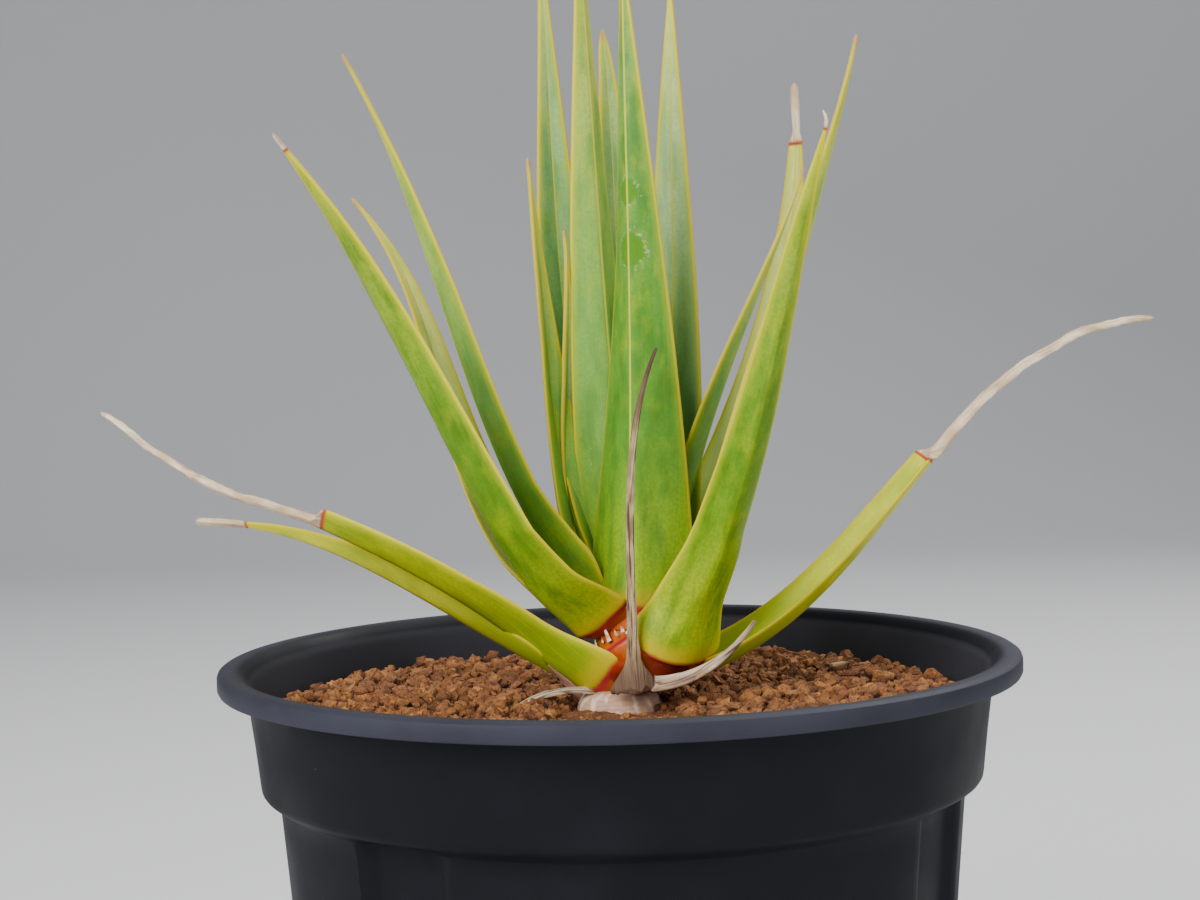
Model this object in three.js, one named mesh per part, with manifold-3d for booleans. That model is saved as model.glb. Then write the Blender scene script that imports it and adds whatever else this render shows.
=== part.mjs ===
// A young socotra dragon tree in its nursery pot.
// Millimetres and degrees, +Z up. The origin is the middle of the pot's underside.
// Azimuths turn from +X (0) to +Y (90); the front of the plant faces -Y (270).

import * as THREE from 'three';
import { mergeVertices } from 'three/addons/utils/BufferGeometryUtils.js';
import Module from 'manifold-3d';

const wasm = await Module();
wasm.setup();

// Driving dimensions of the pot: a round nursery pot, 150 mm across its rim
const POT_HEIGHT = 125;
const RIM_RADIUS = 75;
const RIM_HEIGHT = 3.7;
const RIM_WIDTH = 4;
const RIM_ROUND = 0.8;
const WALL = 1.6;
const BAND_HEIGHT = 22.3;
const BAND_TOP_RADIUS = 69.7;
const BAND_BOTTOM_RADIUS = 67.5;
const STEP_HEIGHT = 2.2;
const BODY_TOP_RADIUS = 64.2;
const BASE_RADIUS = 56;
const CHANNEL_WIDTH = 17.6;
const CHANNEL_SIDE = 2.4;
const CHANNEL_DEPTH = 2.2;
const CHANNEL_AZIMUTHS = [54, 152, 234, 332];
const CHANNEL_BOTTOM = 6;
const PANEL_STEPS = 9;
const DRAIN_HOLES = 8;
const DRAIN_HOLE_RADIUS = 4;
const DRAIN_RING_RADIUS = 36;

// Driving dimensions of the soil and the stem
const GAP = 0.3;
const SOIL_DEPTH_BELOW_RIM = 10;
const SOIL_RINGS = 12;
const GRAIN_RELIEF = 0.8;
const GRAIN_SIZE = 9;
const STEM_X = 4.5;
const FOOT_SHIFT = -3.3;
const STEM_STEPS = 20;
const STEM_BELOW_SOIL = 16;
const RIM_TOP = POT_HEIGHT;

// Driving dimensions that all leaves share
const LEAF_STEPS = 12;
const ROOT_LENGTH = 3.5;
const MARGIN_THICKNESS = 0.75;
const TIP_HALF_WIDTH = 0.35;
const NARROW_FOLD = 2.4;
const DRY_THICKNESS = 0.6;
const ACROSS = [-1, -0.5, 0, 0.5, 1];

// The leaves, from the outermost to the innermost.
// azimuth: the way the leaf points, sway: how far it turns on its way to the tip
// root: the side of the stem that its base stands on, where that isn't the way it points
// out, height: where its base leaves the stem, from the stem's axis and from the rim's level
// rise: its angle above the horizon at base, middle and tip, and rootRise: its root's
// roll: its turn about its own line at base and tip
// fold: how steeply its halves stand at base, quarter, middle and tip
// neck: the base's width as a share of the wedge's
// taper: below 1 the wedge keeps its width for longer and ends bluntly
// dry: the share of its length that has dried out and rolled up, dryWidth: that share's width
// where it begins, and dryEnd: its end's as a share of that
const LEAVES = [
  { name: 'leaf_left_low', azimuth: 202, sway: 4, out: 12.8, height: 0.8, length: 111, width: 28,
    rise: [48, 65, 51], roll: [-16, 30], fold: [60, 27, 23, 15], keel: 2.2, rootRise: 5 },
  { name: 'leaf_right_front', azimuth: 315, sway: -4, out: 10.8, height: -1, length: 106, width: 20,
    rise: [62, 69, 68], roll: [-32, -36], fold: [34, 48, 38, 15], keel: 2.2, neck: 1.1,
    root: 305, rootRise: 10 },
  { name: 'leaf_drooping_left', azimuth: 178, sway: -29, out: 13, height: -7.5, length: 114,
    width: 20, rise: [47, 23.5, 26], roll: [12, 26], fold: [42, 35, 47, 10], keel: 2, neck: 1.3,
    rootRise: 15, dry: 0.485, dryWidth: 2.4, dryEnd: 0.65 },
  { name: 'leaf_drooping_right', azimuth: 2, sway: 7, out: 10.8, height: -4.4, length: 113, width: 19.5,
    rise: [16, 50, -1], roll: [-12, 26], fold: [30, 29, 35, 10], keel: 2, neck: 1, rootRise: 5,
    dry: 0.45, dryWidth: 2.7, dryEnd: 0.4 },
  { name: 'leaf_drooping_left_back', azimuth: 164, sway: -10, out: 14.2, height: -6.2, length: 88,
    width: 21, rise: [24, 25, -5], roll: [3, 30], fold: [26, 32, 47, 10], keel: 1.8, neck: 0.55,
    rootRise: 10, rootLength: 5, dry: 0.14, dryWidth: 1.7, dryEnd: 1 },
  { name: 'dry_leaf_front', azimuth: 125, sway: -120, root: 263, out: 13, height: -3.6, length: 62,
    width: 10, rise: [84, 86, 66], roll: [145, 270], fold: [40, 40, 30, 15], keel: 0.9, neck: 1,
    rootRise: 60, rootLength: 2, dry: 0.93, dryWidth: 2, dryEnd: 0.35 },
  { name: 'dry_shred_right', azimuth: 335, sway: 50, root: 283, out: 10.4, height: -4.6, length: 24,
    width: 3, rise: [-3, 28, 42], roll: [60, 20], fold: [30, 30, 30, 15], keel: 0.8, steps: 8,
    rootLength: 1, dry: 0.8, dryWidth: 2.2, dryEnd: 0.35 },
  { name: 'dry_shred_left', azimuth: 187, sway: 0, root: 200, out: 9.4, height: -7, length: 15,
    width: 3.4, rise: [10, -8, -30], roll: [-40, -20], fold: [20, 20, 20, 15], keel: 0.8, steps: 6,
    rootLength: 1, dry: 0.8, dryWidth: 2.6, dryEnd: 0.35 },
  { name: 'leaf_right_outer', azimuth: 337, sway: 0, out: 10.4, height: 2.5, length: 115, width: 20,
    rise: [72, 72, 76], roll: [-38, 0], fold: [42, 17, 38, 15], keel: 2, rootRise: 30 },
  { name: 'leaf_left_back', azimuth: 170, sway: 4, out: 9.7, height: 3, length: 97, width: 20,
    rise: [29, 74, 48], roll: [-24, -40], fold: [43, 32, 30, 15], keel: 2, rootRise: 10 },
  { name: 'leaf_front_centre', azimuth: 249, sway: -8, out: 8.2, height: 9.6, length: 123, width: 26,
    rise: [101, 91, 92], roll: [0, -15], fold: [32, 33, 35, 15], keel: 2.2 },
  { name: 'leaf_left_upper', azimuth: 187, sway: 7, out: 8.8, height: 6.5, length: 116, width: 22,
    rise: [49, 73, 61], roll: [-2, 7], fold: [54, 28, 40, 15], keel: 2, neck: 0.55, root: 166 },
  { name: 'leaf_right_back', azimuth: 44, sway: 0, out: 8.5, height: 6, length: 113, width: 18,
    rise: [53, 67, 97], roll: [-2, 3], fold: [45, 34, 26, 12], keel: 1.8, taper: 0.7,
    dry: 0.105, dryWidth: 2, dryEnd: 0.85 },
  { name: 'leaf_right_inner', azimuth: 7, sway: -4, out: 8.4, height: 8, length: 87, width: 19,
    rise: [88, 69, 71], roll: [-9, -6], fold: [45, 35, 33, 15], keel: 1.8, neck: 0.55, root: 30 },
  { name: 'leaf_short_left', azimuth: 149, sway: 0, out: 9, height: 6, length: 90, width: 17,
    rise: [65, 84, 84], roll: [-19, 0], fold: [44, 29, 32, 15], keel: 1.6 },
  { name: 'leaf_tall_right', azimuth: 58, sway: 2, out: 6.5, height: 9, length: 120, width: 20,
    rise: [71, 88, 87], roll: [-4, 8], fold: [45, 34, 24, 15], keel: 1.8 },
  { name: 'leaf_centre_left', azimuth: 301, sway: 3, out: -1.8, height: 10.4, length: 129, width: 23,
    rise: [103, 95, 97], roll: [-18, 9], fold: [47, 42, 35, 15], keel: 1.8, neck: 0.6 },
  { name: 'leaf_young_inner', azimuth: 141, sway: 0, out: 6.5, height: 8.4, length: 75, width: 12,
    rise: [42, 91, 83], roll: [-10, -2], fold: [44, 34, 35, 15], keel: 1.4, neck: 0.6 },
  { name: 'leaf_inner_back', azimuth: 99, sway: 5, out: 8, height: 9, length: 113, width: 13,
    rise: [66, 87, 71], roll: [1, 2], fold: [42, 32, 25, 15], keel: 1.6, taper: 0.5 },
  { name: 'leaf_tall_left', azimuth: 122, sway: -3, out: 7.9, height: 9.2, length: 135, width: 22,
    rise: [57, 84, 83], roll: [-6, -17], fold: [46, 37, 20, 15], keel: 1.8, neck: 0.7 },
];

// Small turns and curves

const radians = THREE.MathUtils.degToRad;

function smooth(x) {
  return THREE.MathUtils.smoothstep(x, 0, 1);
}

// The parabola through three values at 0, a half and 1
function through([first, middle, last], s) {
  return first * (1 - s) * (1 - 2 * s) + 4 * middle * s * (1 - s) + last * s * (2 * s - 1);
}

// Straight lines through values at the given places
function between(places, values, s) {
  let i = 0;
  while (i < places.length - 2 && s > places[i + 1]) i += 1;
  const share = THREE.MathUtils.clamp((s - places[i]) / (places[i + 1] - places[i]), 0, 1);
  return values[i] + share * (values[i + 1] - values[i]);
}

// Solids and their meshes

function toSolid(geometry) {
  const bare = geometry.clone();
  bare.deleteAttribute('normal');
  bare.deleteAttribute('uv');
  const merged = mergeVertices(bare, 1e-4);
  const vertProperties = new Float32Array(merged.attributes.position.array);
  const triVerts = new Uint32Array(merged.index.array);
  return new wasm.Manifold(new wasm.Mesh({ numProp: 3, vertProperties, triVerts }));
}

function toGeometry(solid) {
  const mesh = solid.getMesh();
  const geometry = new THREE.BufferGeometry();
  geometry.setAttribute('position', new THREE.BufferAttribute(new Float32Array(mesh.vertProperties), 3));
  geometry.setIndex(new THREE.BufferAttribute(new Uint32Array(mesh.triVerts), 1));
  geometry.computeVertexNormals();
  return geometry;
}

// A cut can leave a loose scrap beside the piece: only the largest body is kept
function largestBody(solid) {
  const bodies = solid.decompose();
  bodies.sort((a, b) => b.volume() - a.volume());
  return bodies[0];
}

function meetingBoxes(a, b) {
  const [p, q] = [a.boundingBox(), b.boundingBox()];
  return [0, 1, 2].every((k) => p.min[k] < q.max[k] && q.min[k] < p.max[k]);
}

// The pot: one profile turned round its axis, with its lower wall pressed in at the channels

// Outer and inner radius of the wall, as [radius, height] pairs from the base to the rim
const bandBottom = POT_HEIGHT - BAND_HEIGHT;
const rimBottom = POT_HEIGHT - RIM_HEIGHT;
const potOutside = [
  [BASE_RADIUS - 1.2, 0],
  [BASE_RADIUS, 1.2],
  [BASE_RADIUS + 0.4, CHANNEL_BOTTOM],
  [BODY_TOP_RADIUS, bandBottom - STEP_HEIGHT],
  [BAND_BOTTOM_RADIUS - 0.8, bandBottom - 0.6],
  [BAND_BOTTOM_RADIUS, bandBottom + 0.4],
  [BAND_TOP_RADIUS, rimBottom],
  [RIM_RADIUS - RIM_ROUND, rimBottom],
  [RIM_RADIUS, rimBottom + RIM_ROUND],
  [RIM_RADIUS, POT_HEIGHT - RIM_ROUND],
  [RIM_RADIUS - RIM_ROUND, POT_HEIGHT],
];
const potInside = [
  [RIM_RADIUS - RIM_WIDTH, POT_HEIGHT],
  [BAND_TOP_RADIUS - WALL, POT_HEIGHT - 2],
  [BAND_BOTTOM_RADIUS - WALL, bandBottom],
  [BODY_TOP_RADIUS - WALL, bandBottom - STEP_HEIGHT - 1],
  [BASE_RADIUS + 0.4 - WALL, CHANNEL_BOTTOM],
  [BASE_RADIUS - WALL - 1, WALL],
];

// The azimuths of the pot's upright edges: close together at a channel's sides
function potAzimuths() {
  const azimuths = [];
  const half = CHANNEL_WIDTH / 2;
  CHANNEL_AZIMUTHS.forEach((middle, channel) => {
    const nextMiddle = CHANNEL_AZIMUTHS[channel + 1] ?? CHANNEL_AZIMUTHS[0] + 360;
    const panel = nextMiddle - middle - CHANNEL_WIDTH;
    azimuths.push(middle - half, middle - half + CHANNEL_SIDE, middle, middle + half - CHANNEL_SIDE);
    for (let i = 0; i < PANEL_STEPS; i += 1) azimuths.push(middle + half + (panel * i) / PANEL_STEPS);
  });
  return azimuths;
}

// How far the wall stands inwards at a place: the full depth in a channel, nothing elsewhere
function channelInset(azimuth, height) {
  const away = Math.min(...CHANNEL_AZIMUTHS.map((middle) => {
    const turn = Math.abs(azimuth - middle) % 360;
    return Math.min(turn, 360 - turn);
  }));
  const side = THREE.MathUtils.clamp((CHANNEL_WIDTH / 2 - away) / CHANNEL_SIDE, 0, 1);
  const within = height >= CHANNEL_BOTTOM - 0.01 && height < bandBottom - 1;
  return within ? CHANNEL_DEPTH * side : 0;
}

// A closed solid from a profile that starts and ends on the axis, turned through the pot's azimuths
function turned(profile, height = (radius, azimuth, z) => z) {
  const azimuths = potAzimuths();
  const count = azimuths.length;
  const positions = [];
  const index = [];
  const [first, last] = [profile[0], profile[profile.length - 1]];
  const rings = profile.slice(1, -1);
  positions.push(0, 0, first[1]);
  for (const [radius, z] of rings) {
    for (const azimuth of azimuths) {
      const r = radius - channelInset(azimuth, z);
      positions.push(r * Math.cos(radians(azimuth)), r * Math.sin(radians(azimuth)), height(r, azimuth, z));
    }
  }
  positions.push(0, 0, last[1]);
  const end = positions.length / 3 - 1;
  for (let i = 0; i < count; i += 1) {
    const next = (i + 1) % count;
    index.push(0, 1 + next, 1 + i);
    for (let ring = 0; ring < rings.length - 1; ring += 1) {
      const [low, high] = [1 + ring * count, 1 + (ring + 1) * count];
      const rising = rings[ring + 1][1] > rings[ring][1];
      if (rising) index.push(low + i, low + next, high + i, low + next, high + next, high + i);
      else index.push(low + i, low + next, high + next, low + i, high + next, high + i);
    }
    const top = 1 + (rings.length - 1) * count;
    index.push(top + i, top + next, end);
  }
  const geometry = new THREE.BufferGeometry();
  geometry.setAttribute('position', new THREE.Float32BufferAttribute(positions, 3));
  geometry.setIndex(index);
  return geometry;
}

function makePot() {
  let pot = toSolid(turned([[0, 0], ...potOutside, ...potInside, [0, WALL]]));
  for (let i = 0; i < DRAIN_HOLES; i += 1) {
    const turn = ((i + 0.5) * 2 * Math.PI) / DRAIN_HOLES;
    const hole = new THREE.CylinderGeometry(DRAIN_HOLE_RADIUS, DRAIN_HOLE_RADIUS, 4 * WALL, 16);
    hole.rotateX(Math.PI / 2);
    hole.translate(DRAIN_RING_RADIUS * Math.cos(turn), DRAIN_RING_RADIUS * Math.sin(turn), 0);
    pot = pot.subtract(toSolid(hole));
  }
  return pot;
}

// The soil: it fills the pot up to its surface of coarse clay grains

const soilTop = RIM_TOP - SOIL_DEPTH_BELOW_RIM;

// Grains as relief: two crossed waves of the grains' size, with a third to break their rows
function grainRelief(x, y) {
  const k = (2 * Math.PI) / GRAIN_SIZE;
  const waves = Math.sin(k * x + 1.3 * Math.sin(0.7 * k * y)) * Math.sin(k * y + Math.sin(0.9 * k * x));
  return GRAIN_RELIEF * (0.6 * waves + 0.4 * Math.sin(0.37 * k * (x - y)));
}

function makeSoil() {
  const share = (soilTop - bandBottom) / (rimBottom - bandBottom);
  const bandRadius = THREE.MathUtils.lerp(BAND_BOTTOM_RADIUS, BAND_TOP_RADIUS, share);
  const surfaceRadius = bandRadius - WALL - GAP - 0.3;
  const wall = [
    [BASE_RADIUS - WALL - 1 - GAP, WALL + GAP],
    [BASE_RADIUS - WALL - GAP, CHANNEL_BOTTOM],
    [BODY_TOP_RADIUS - WALL - GAP - 0.1, bandBottom - STEP_HEIGHT - 1.1],
    [BAND_BOTTOM_RADIUS - WALL - GAP - 0.1, bandBottom + 0.6],
  ];
  const surface = [];
  for (let ring = 0; ring < SOIL_RINGS; ring += 1) {
    surface.push([surfaceRadius * (1 - ring / SOIL_RINGS), soilTop]);
  }
  return toSolid(turned([[0, WALL + GAP], ...wall, ...surface, [0, soilTop]], (r, azimuth, z) => {
    if (z < soilTop) return z;
    return z + grainRelief(r * Math.cos(radians(azimuth)), r * Math.sin(radians(azimuth)));
  }));
}

// The stem: a ringed swollen foot in the soil, and the red crown of old leaf bases on it

// [radius, height from the rim's level]
const stemProfile = [
  [0, -SOIL_DEPTH_BELOW_RIM - STEM_BELOW_SOIL],
  [6, -SOIL_DEPTH_BELOW_RIM - STEM_BELOW_SOIL],
  [8.6, -20],
  [9.6, -12],
  [9.3, -9.4],
  [8.2, -7.6],
  [8.6, -7],
  [10, -5.6],
  [10.7, -3.2],
  [10.4, -2.6],
  [10.8, 0.4],
  [10.2, 1],
  [10.1, 4.4],
  [9.3, 7.4],
  [8.2, 9.6],
  [6.8, 10.8],
  [3.5, 11.6],
  [0, 11.8],
];

function stemSolid(grow) {
  const profile = stemProfile.map(([radius, z], i) => {
    const down = i < 2 ? -grow : 0;
    return new THREE.Vector2(radius > 0 ? radius + grow : 0, z + down);
  });
  const stem = new THREE.LatheGeometry(profile, STEM_STEPS);
  stem.rotateX(Math.PI / 2);
  const corners = stem.attributes.position;
  for (let i = 0; i < corners.count; i += 1) {
    const share = THREE.MathUtils.clamp((-5.6 - corners.getZ(i)) / 1.4, 0, 1);
    corners.setX(i, corners.getX(i) + FOOT_SHIFT * share);
  }
  stem.translate(STEM_X, 0, RIM_TOP);
  return toSolid(stem);
}

// A leaf: a long wedge of a blade, folded along its midrib, round a line that bends and turns.
// The outer face follows the line and the inner face lies a thickness above it.

function leafDirection(leaf, s) {
  const azimuth = radians(leaf.azimuth + leaf.sway * s);
  const rise = radians(through(leaf.rise, s));
  const flat = Math.cos(rise);
  return new THREE.Vector3(flat * Math.cos(azimuth), flat * Math.sin(azimuth), Math.sin(rise));
}

// How far a place on the leaf has dried: 0 on the living blade, 1 past the joint
function leafDryness(leaf, s) {
  return leaf.dry ? smooth((s - (1 - leaf.dry) + 0.02) / 0.03) : 0;
}

function leafHalfWidth(leaf, s) {
  const neck = leaf.neck ?? 0.85;
  const wedge = (1 - s) ** (leaf.taper ?? 1);
  const green = (leaf.width / 2) * wedge * (neck + (1 - neck) * smooth(s / 0.12));
  if (!leaf.dry) return Math.max(green, TIP_HALF_WIDTH);
  const dried = (leaf.dryWidth / 2) * between([1 - leaf.dry, 1], [1, leaf.dryEnd], s);
  return Math.max(THREE.MathUtils.lerp(green, dried, leafDryness(leaf, s)), TIP_HALF_WIDTH);
}

// One cross section as two rows of points, the outer face's and the inner face's. Where the blade
// is only a few thicknesses wide it folds less, so that its inner face doesn't meet itself.
function leafSection(leaf, s, point, grow) {
  const along = leafDirection(leaf, s);
  const azimuth = radians(leaf.azimuth + leaf.sway * s);
  const level = new THREE.Vector3(-Math.sin(azimuth), Math.cos(azimuth), 0);
  const roll = radians(THREE.MathUtils.lerp(leaf.roll[0], leaf.roll[1], s));
  const side = level.clone().applyAxisAngle(along, roll);
  const inward = along.clone().cross(side);
  const breadth = leafHalfWidth(leaf, s);
  const living = THREE.MathUtils.lerp(leaf.keel, MARGIN_THICKNESS, Math.min(1, s * 1.1));
  const rolled = Math.max(MARGIN_THICKNESS, DRY_THICKNESS * 2 * breadth);
  const keel = THREE.MathUtils.lerp(living, rolled, leaf.dryEnd ? leafDryness(leaf, s) : 0);
  const half = breadth + grow;
  const ease = Math.min(1, breadth / (NARROW_FOLD * keel));
  const fold = radians(between([0, 0.25, 0.6, 1], leaf.fold, s)) * ease;
  const curl = between([0, 0.15, 1], [1.9, 1.35, 1.2], s);
  const outer = [];
  const inner = [];
  for (const t of ACROSS) {
    const slope = Math.atan(curl * Math.abs(t) ** (curl - 1) * Math.tan(fold) * Math.sign(t));
    const thickness = MARGIN_THICKNESS + (keel - MARGIN_THICKNESS) * (1 - t * t) + 2 * grow;
    const x = half * t * Math.cos(fold) + grow * Math.sin(slope);
    const lift = half * Math.abs(t) ** curl * Math.sin(fold) - grow * Math.cos(slope);
    outer.push(point.clone().addScaledVector(side, x).addScaledVector(inward, lift));
    const xInner = x - thickness * Math.sin(slope);
    const liftInner = lift + thickness * Math.cos(slope);
    inner.push(point.clone().addScaledVector(side, xInner).addScaledVector(inward, liftInner));
  }
  return { outer, inner };
}

// The sections of a leaf from its root, which stands in the stem, to its tip
function leafSections(leaf, grow) {
  const steps = leaf.steps ?? LEAF_STEPS;
  const baseAzimuth = radians(leaf.root ?? leaf.azimuth);
  const point = new THREE.Vector3(
    STEM_X + leaf.out * Math.cos(baseAzimuth),
    leaf.out * Math.sin(baseAzimuth),
    RIM_TOP + leaf.height,
  );
  const rootLength = (leaf.rootLength ?? ROOT_LENGTH) + grow;
  const rootRise = radians(leaf.rootRise ?? leaf.rise[0]);
  const inwards = new THREE.Vector3(-Math.cos(baseAzimuth), -Math.sin(baseAzimuth), 0);
  const rootPoint = point.clone().addScaledVector(inwards, rootLength * Math.cos(rootRise));
  rootPoint.z -= rootLength * Math.sin(rootRise);
  const sections = [leafSection(leaf, 0, rootPoint, grow)];
  for (let i = 0; i <= steps; i += 1) {
    sections.push(leafSection(leaf, i / steps, point, grow));
    const middle = leafDirection(leaf, (i + 0.5) / steps);
    point.addScaledVector(middle, i < steps ? leaf.length / steps : 0);
  }
  return sections;
}

function leafSolid(leaf, grow = 0) {
  const sections = leafSections(leaf, grow);
  const width = ACROSS.length;
  const positions = [];
  for (const { outer, inner } of sections) {
    for (const corner of [...outer, ...inner]) positions.push(corner.x, corner.y, corner.z);
  }
  const index = [];
  const quad = (a, b, c, d) => index.push(a, b, c, a, c, d);
  const last = (sections.length - 1) * 2 * width;
  for (let i = 0; i < sections.length - 1; i += 1) {
    const [low, high] = [i * 2 * width, (i + 1) * 2 * width];
    for (let j = 0; j < width - 1; j += 1) {
      quad(low + j, low + j + 1, high + j + 1, high + j);
      const [a, b] = [low + width + j, high + width + j];
      index.push(a, b + 1, a + 1, a, b, b + 1);
    }
    quad(low + width - 1, low + 2 * width - 1, high + 2 * width - 1, high + width - 1);
    quad(low, high, high + width, low + width);
  }
  for (let j = 0; j < width - 1; j += 1) {
    quad(j, width + j, width + j + 1, j + 1);
    quad(last + j, last + j + 1, last + width + j + 1, last + width + j);
  }
  const geometry = new THREE.BufferGeometry();
  geometry.setAttribute('position', new THREE.Float32BufferAttribute(positions, 3));
  geometry.setIndex(index);
  return toSolid(geometry);
}

// Assembly: each leaf gives way to the leaves outside it, and the stem to the roots of all leaves

const leafSolids = new Map();
const leafRooms = [];
for (const leaf of LEAVES) {
  let solid = leafSolid(leaf);
  for (const room of leafRooms) {
    if (meetingBoxes(solid, room)) solid = solid.subtract(room);
  }
  leafSolids.set(leaf.name, largestBody(solid));
  leafRooms.push(leafSolid(leaf, GAP));
}

let stem = stemSolid(0);
for (const room of leafRooms) stem = stem.subtract(room);
stem = largestBody(stem);

let soil = makeSoil().subtract(stemSolid(GAP));
for (const room of leafRooms) {
  if (meetingBoxes(soil, room)) soil = soil.subtract(room);
}

// Finishes, as [colour, roughness]
const FINISHES = {
  pot: ['#25272c', 0.45],
  soil: ['#8a4f2c', 0.95],
  stem: ['#a8442a', 0.45],
  leaf: ['#7f9d3f', 0.5],
  dry: ['#a08a6e', 0.85],
};

const dragonTree = new THREE.Group();

function add(name, solid, finish) {
  const [color, roughness] = FINISHES[finish];
  const material = new THREE.MeshStandardMaterial({ color, roughness, metalness: 0 });
  const mesh = new THREE.Mesh(toGeometry(solid), material);
  mesh.name = name;
  dragonTree.add(mesh);
}

add('nursery_pot', makePot(), 'pot');
add('clay_soil', soil, 'soil');
add('stem_crown', stem, 'stem');
for (const leaf of LEAVES) {
  add(leaf.name, leafSolids.get(leaf.name), leaf.name.startsWith('dry') ? 'dry' : 'leaf');
}

export default dragonTree;
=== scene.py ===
import math
import random

import bpy
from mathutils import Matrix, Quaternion, Vector, noise


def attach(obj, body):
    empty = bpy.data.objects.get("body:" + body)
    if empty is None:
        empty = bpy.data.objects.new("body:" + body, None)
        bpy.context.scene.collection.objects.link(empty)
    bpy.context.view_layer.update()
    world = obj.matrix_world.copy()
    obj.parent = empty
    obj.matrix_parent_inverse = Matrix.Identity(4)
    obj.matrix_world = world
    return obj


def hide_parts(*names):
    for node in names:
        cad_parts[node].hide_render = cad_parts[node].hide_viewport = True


# A young socotra dragon tree in its nursery pot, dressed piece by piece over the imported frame.
# Blender works in metres. Sizes are written in millimetres and degrees, as in the part's source.
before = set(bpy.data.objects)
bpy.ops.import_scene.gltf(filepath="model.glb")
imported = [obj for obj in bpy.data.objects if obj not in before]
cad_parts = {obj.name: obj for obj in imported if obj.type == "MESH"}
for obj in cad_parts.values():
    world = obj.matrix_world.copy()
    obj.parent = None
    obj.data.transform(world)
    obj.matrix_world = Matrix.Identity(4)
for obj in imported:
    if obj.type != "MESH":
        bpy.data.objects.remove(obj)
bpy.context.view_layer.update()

# The nursery pot: one thin wall of injection-moulded black polypropylene, with a flat rolled rim, a
# plain band, a step in to the tapering body with its four pressed-in channels, and drain holes.
MM = 0.001
POT_SIDES = 288
POT_WALL = 1.6
BAND_BOTTOM = 102.7
BODY_TOP = 100.5
CHANNEL_MIDDLES = (54, 152, 234, 332)
CHANNEL_WIDTH = 17.6
CHANNEL_SIDE = 2.4
CHANNEL_DEPTH = 2.2
CHANNEL_BOTTOM = 6
DRAIN_RING_RADIUS = 36
DRAIN_HOLE_RADIUS = 4
DRAIN_HOLES = 8
# Radius and height of the wall's bends: up the outside, over the rim, and down the inside
POT_PROFILE = (
    (54.8, 0), (55.5, 0.3), (56, 1.2), (56.2, 3.6), (56.4, 6), (58.5, 31), (61, 62), (63.9, 97),
    (64.2, BODY_TOP - 0.4), (64.5, BODY_TOP), (65.4, 101), (66.6, 101.9), (67.1, 102.3),
    (67.45, 102.8), (67.6, 103.6), (68.4, 111), (69.6, 120.6), (69.9, 121.1), (70.6, 121.3),
    (74.2, 121.3), (74.75, 121.5), (75, 122), (75, 124), (74.8, 124.55), (74.3, 124.9),
    (73.4, 125), (71.6, 124.95), (70.9, 124.7), (70.3, 124.2), (69.3, 123.2), (68.4, 121.4),
    (67.6, 115), (65.9, 102.7), (62.6, 99.5), (54.8, 6), (53.4, POT_WALL),
)


def turn_up(rings):
    """Extrudes the selected ring of edges from bend to bend, as a wall is turned on a wheel."""
    for (radius, height), (next_radius, next_height) in zip(rings, rings[1:]):
        rise = (0, 0, (next_height - height) * MM)
        bpy.ops.mesh.extrude_region_move(TRANSFORM_OT_translate={"value": rise})
        growth = next_radius / radius
        bpy.ops.transform.resize(value=(growth, growth, 1), center_override=(0, 0, 0))


def close_and_face_out():
    """Closes the ring that is still open and points every face outwards."""
    bpy.ops.mesh.edge_face_add()
    bpy.ops.mesh.select_all(action="SELECT")
    bpy.ops.mesh.normals_make_consistent(inside=False)
    bpy.ops.object.mode_set(mode="OBJECT")


bpy.ops.object.select_all(action="DESELECT")
bpy.ops.mesh.primitive_circle_add(
    vertices=POT_SIDES, radius=POT_PROFILE[0][0] * MM, fill_type="NGON"
)
pot = bpy.context.object
pot.name = pot.data.name = "moulded_pot"
bpy.ops.object.mode_set(mode="EDIT")
bpy.ops.mesh.region_to_loop()
turn_up(POT_PROFILE)
close_and_face_out()
for corner in pot.data.vertices:
    height = corner.co.z / MM
    azimuth = math.degrees(math.atan2(corner.co.y, corner.co.x))
    away = min(abs((azimuth - middle + 180) % 360 - 180) for middle in CHANNEL_MIDDLES)
    pressed = min(1, max(0, (CHANNEL_WIDTH / 2 - away) / CHANNEL_SIDE))
    below_step = min(1, max(0, (BAND_BOTTOM - 1 - height) / 1.2))
    above_base = min(1, max(0, (height - POT_WALL) / (CHANNEL_BOTTOM - POT_WALL)))
    radius = Vector((corner.co.x, corner.co.y)).length
    inset = CHANNEL_DEPTH * MM * pressed * below_step * above_base
    corner.co.x -= inset * corner.co.x / radius
    corner.co.y -= inset * corner.co.y / radius

drills = []
for hole in range(DRAIN_HOLES):
    turn = (hole + 0.5) * 2 * math.pi / DRAIN_HOLES
    place = (DRAIN_RING_RADIUS * math.cos(turn) * MM, DRAIN_RING_RADIUS * math.sin(turn) * MM, 0)
    bpy.ops.object.select_all(action="DESELECT")
    bpy.ops.mesh.primitive_cylinder_add(
        vertices=32, radius=DRAIN_HOLE_RADIUS * MM, depth=4 * POT_WALL * MM, location=place
    )
    drills.append(bpy.context.object)
for drill in drills:
    bpy.context.view_layer.objects.active = pot
    cut = pot.modifiers.new("drain hole", "BOOLEAN")
    cut.operation = "DIFFERENCE"
    cut.solver = "EXACT"
    cut.object = drill
    bpy.ops.object.modifier_apply(modifier=cut.name)
    bpy.data.objects.remove(drill)


def shade_over(piece, degrees):
    """Shades a piece smooth, apart from edges that turn more sharply than this."""
    bpy.ops.object.select_all(action="DESELECT")
    piece.select_set(True)
    bpy.context.view_layer.objects.active = piece
    bpy.ops.object.shade_smooth_by_angle(angle=math.radians(degrees))


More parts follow.
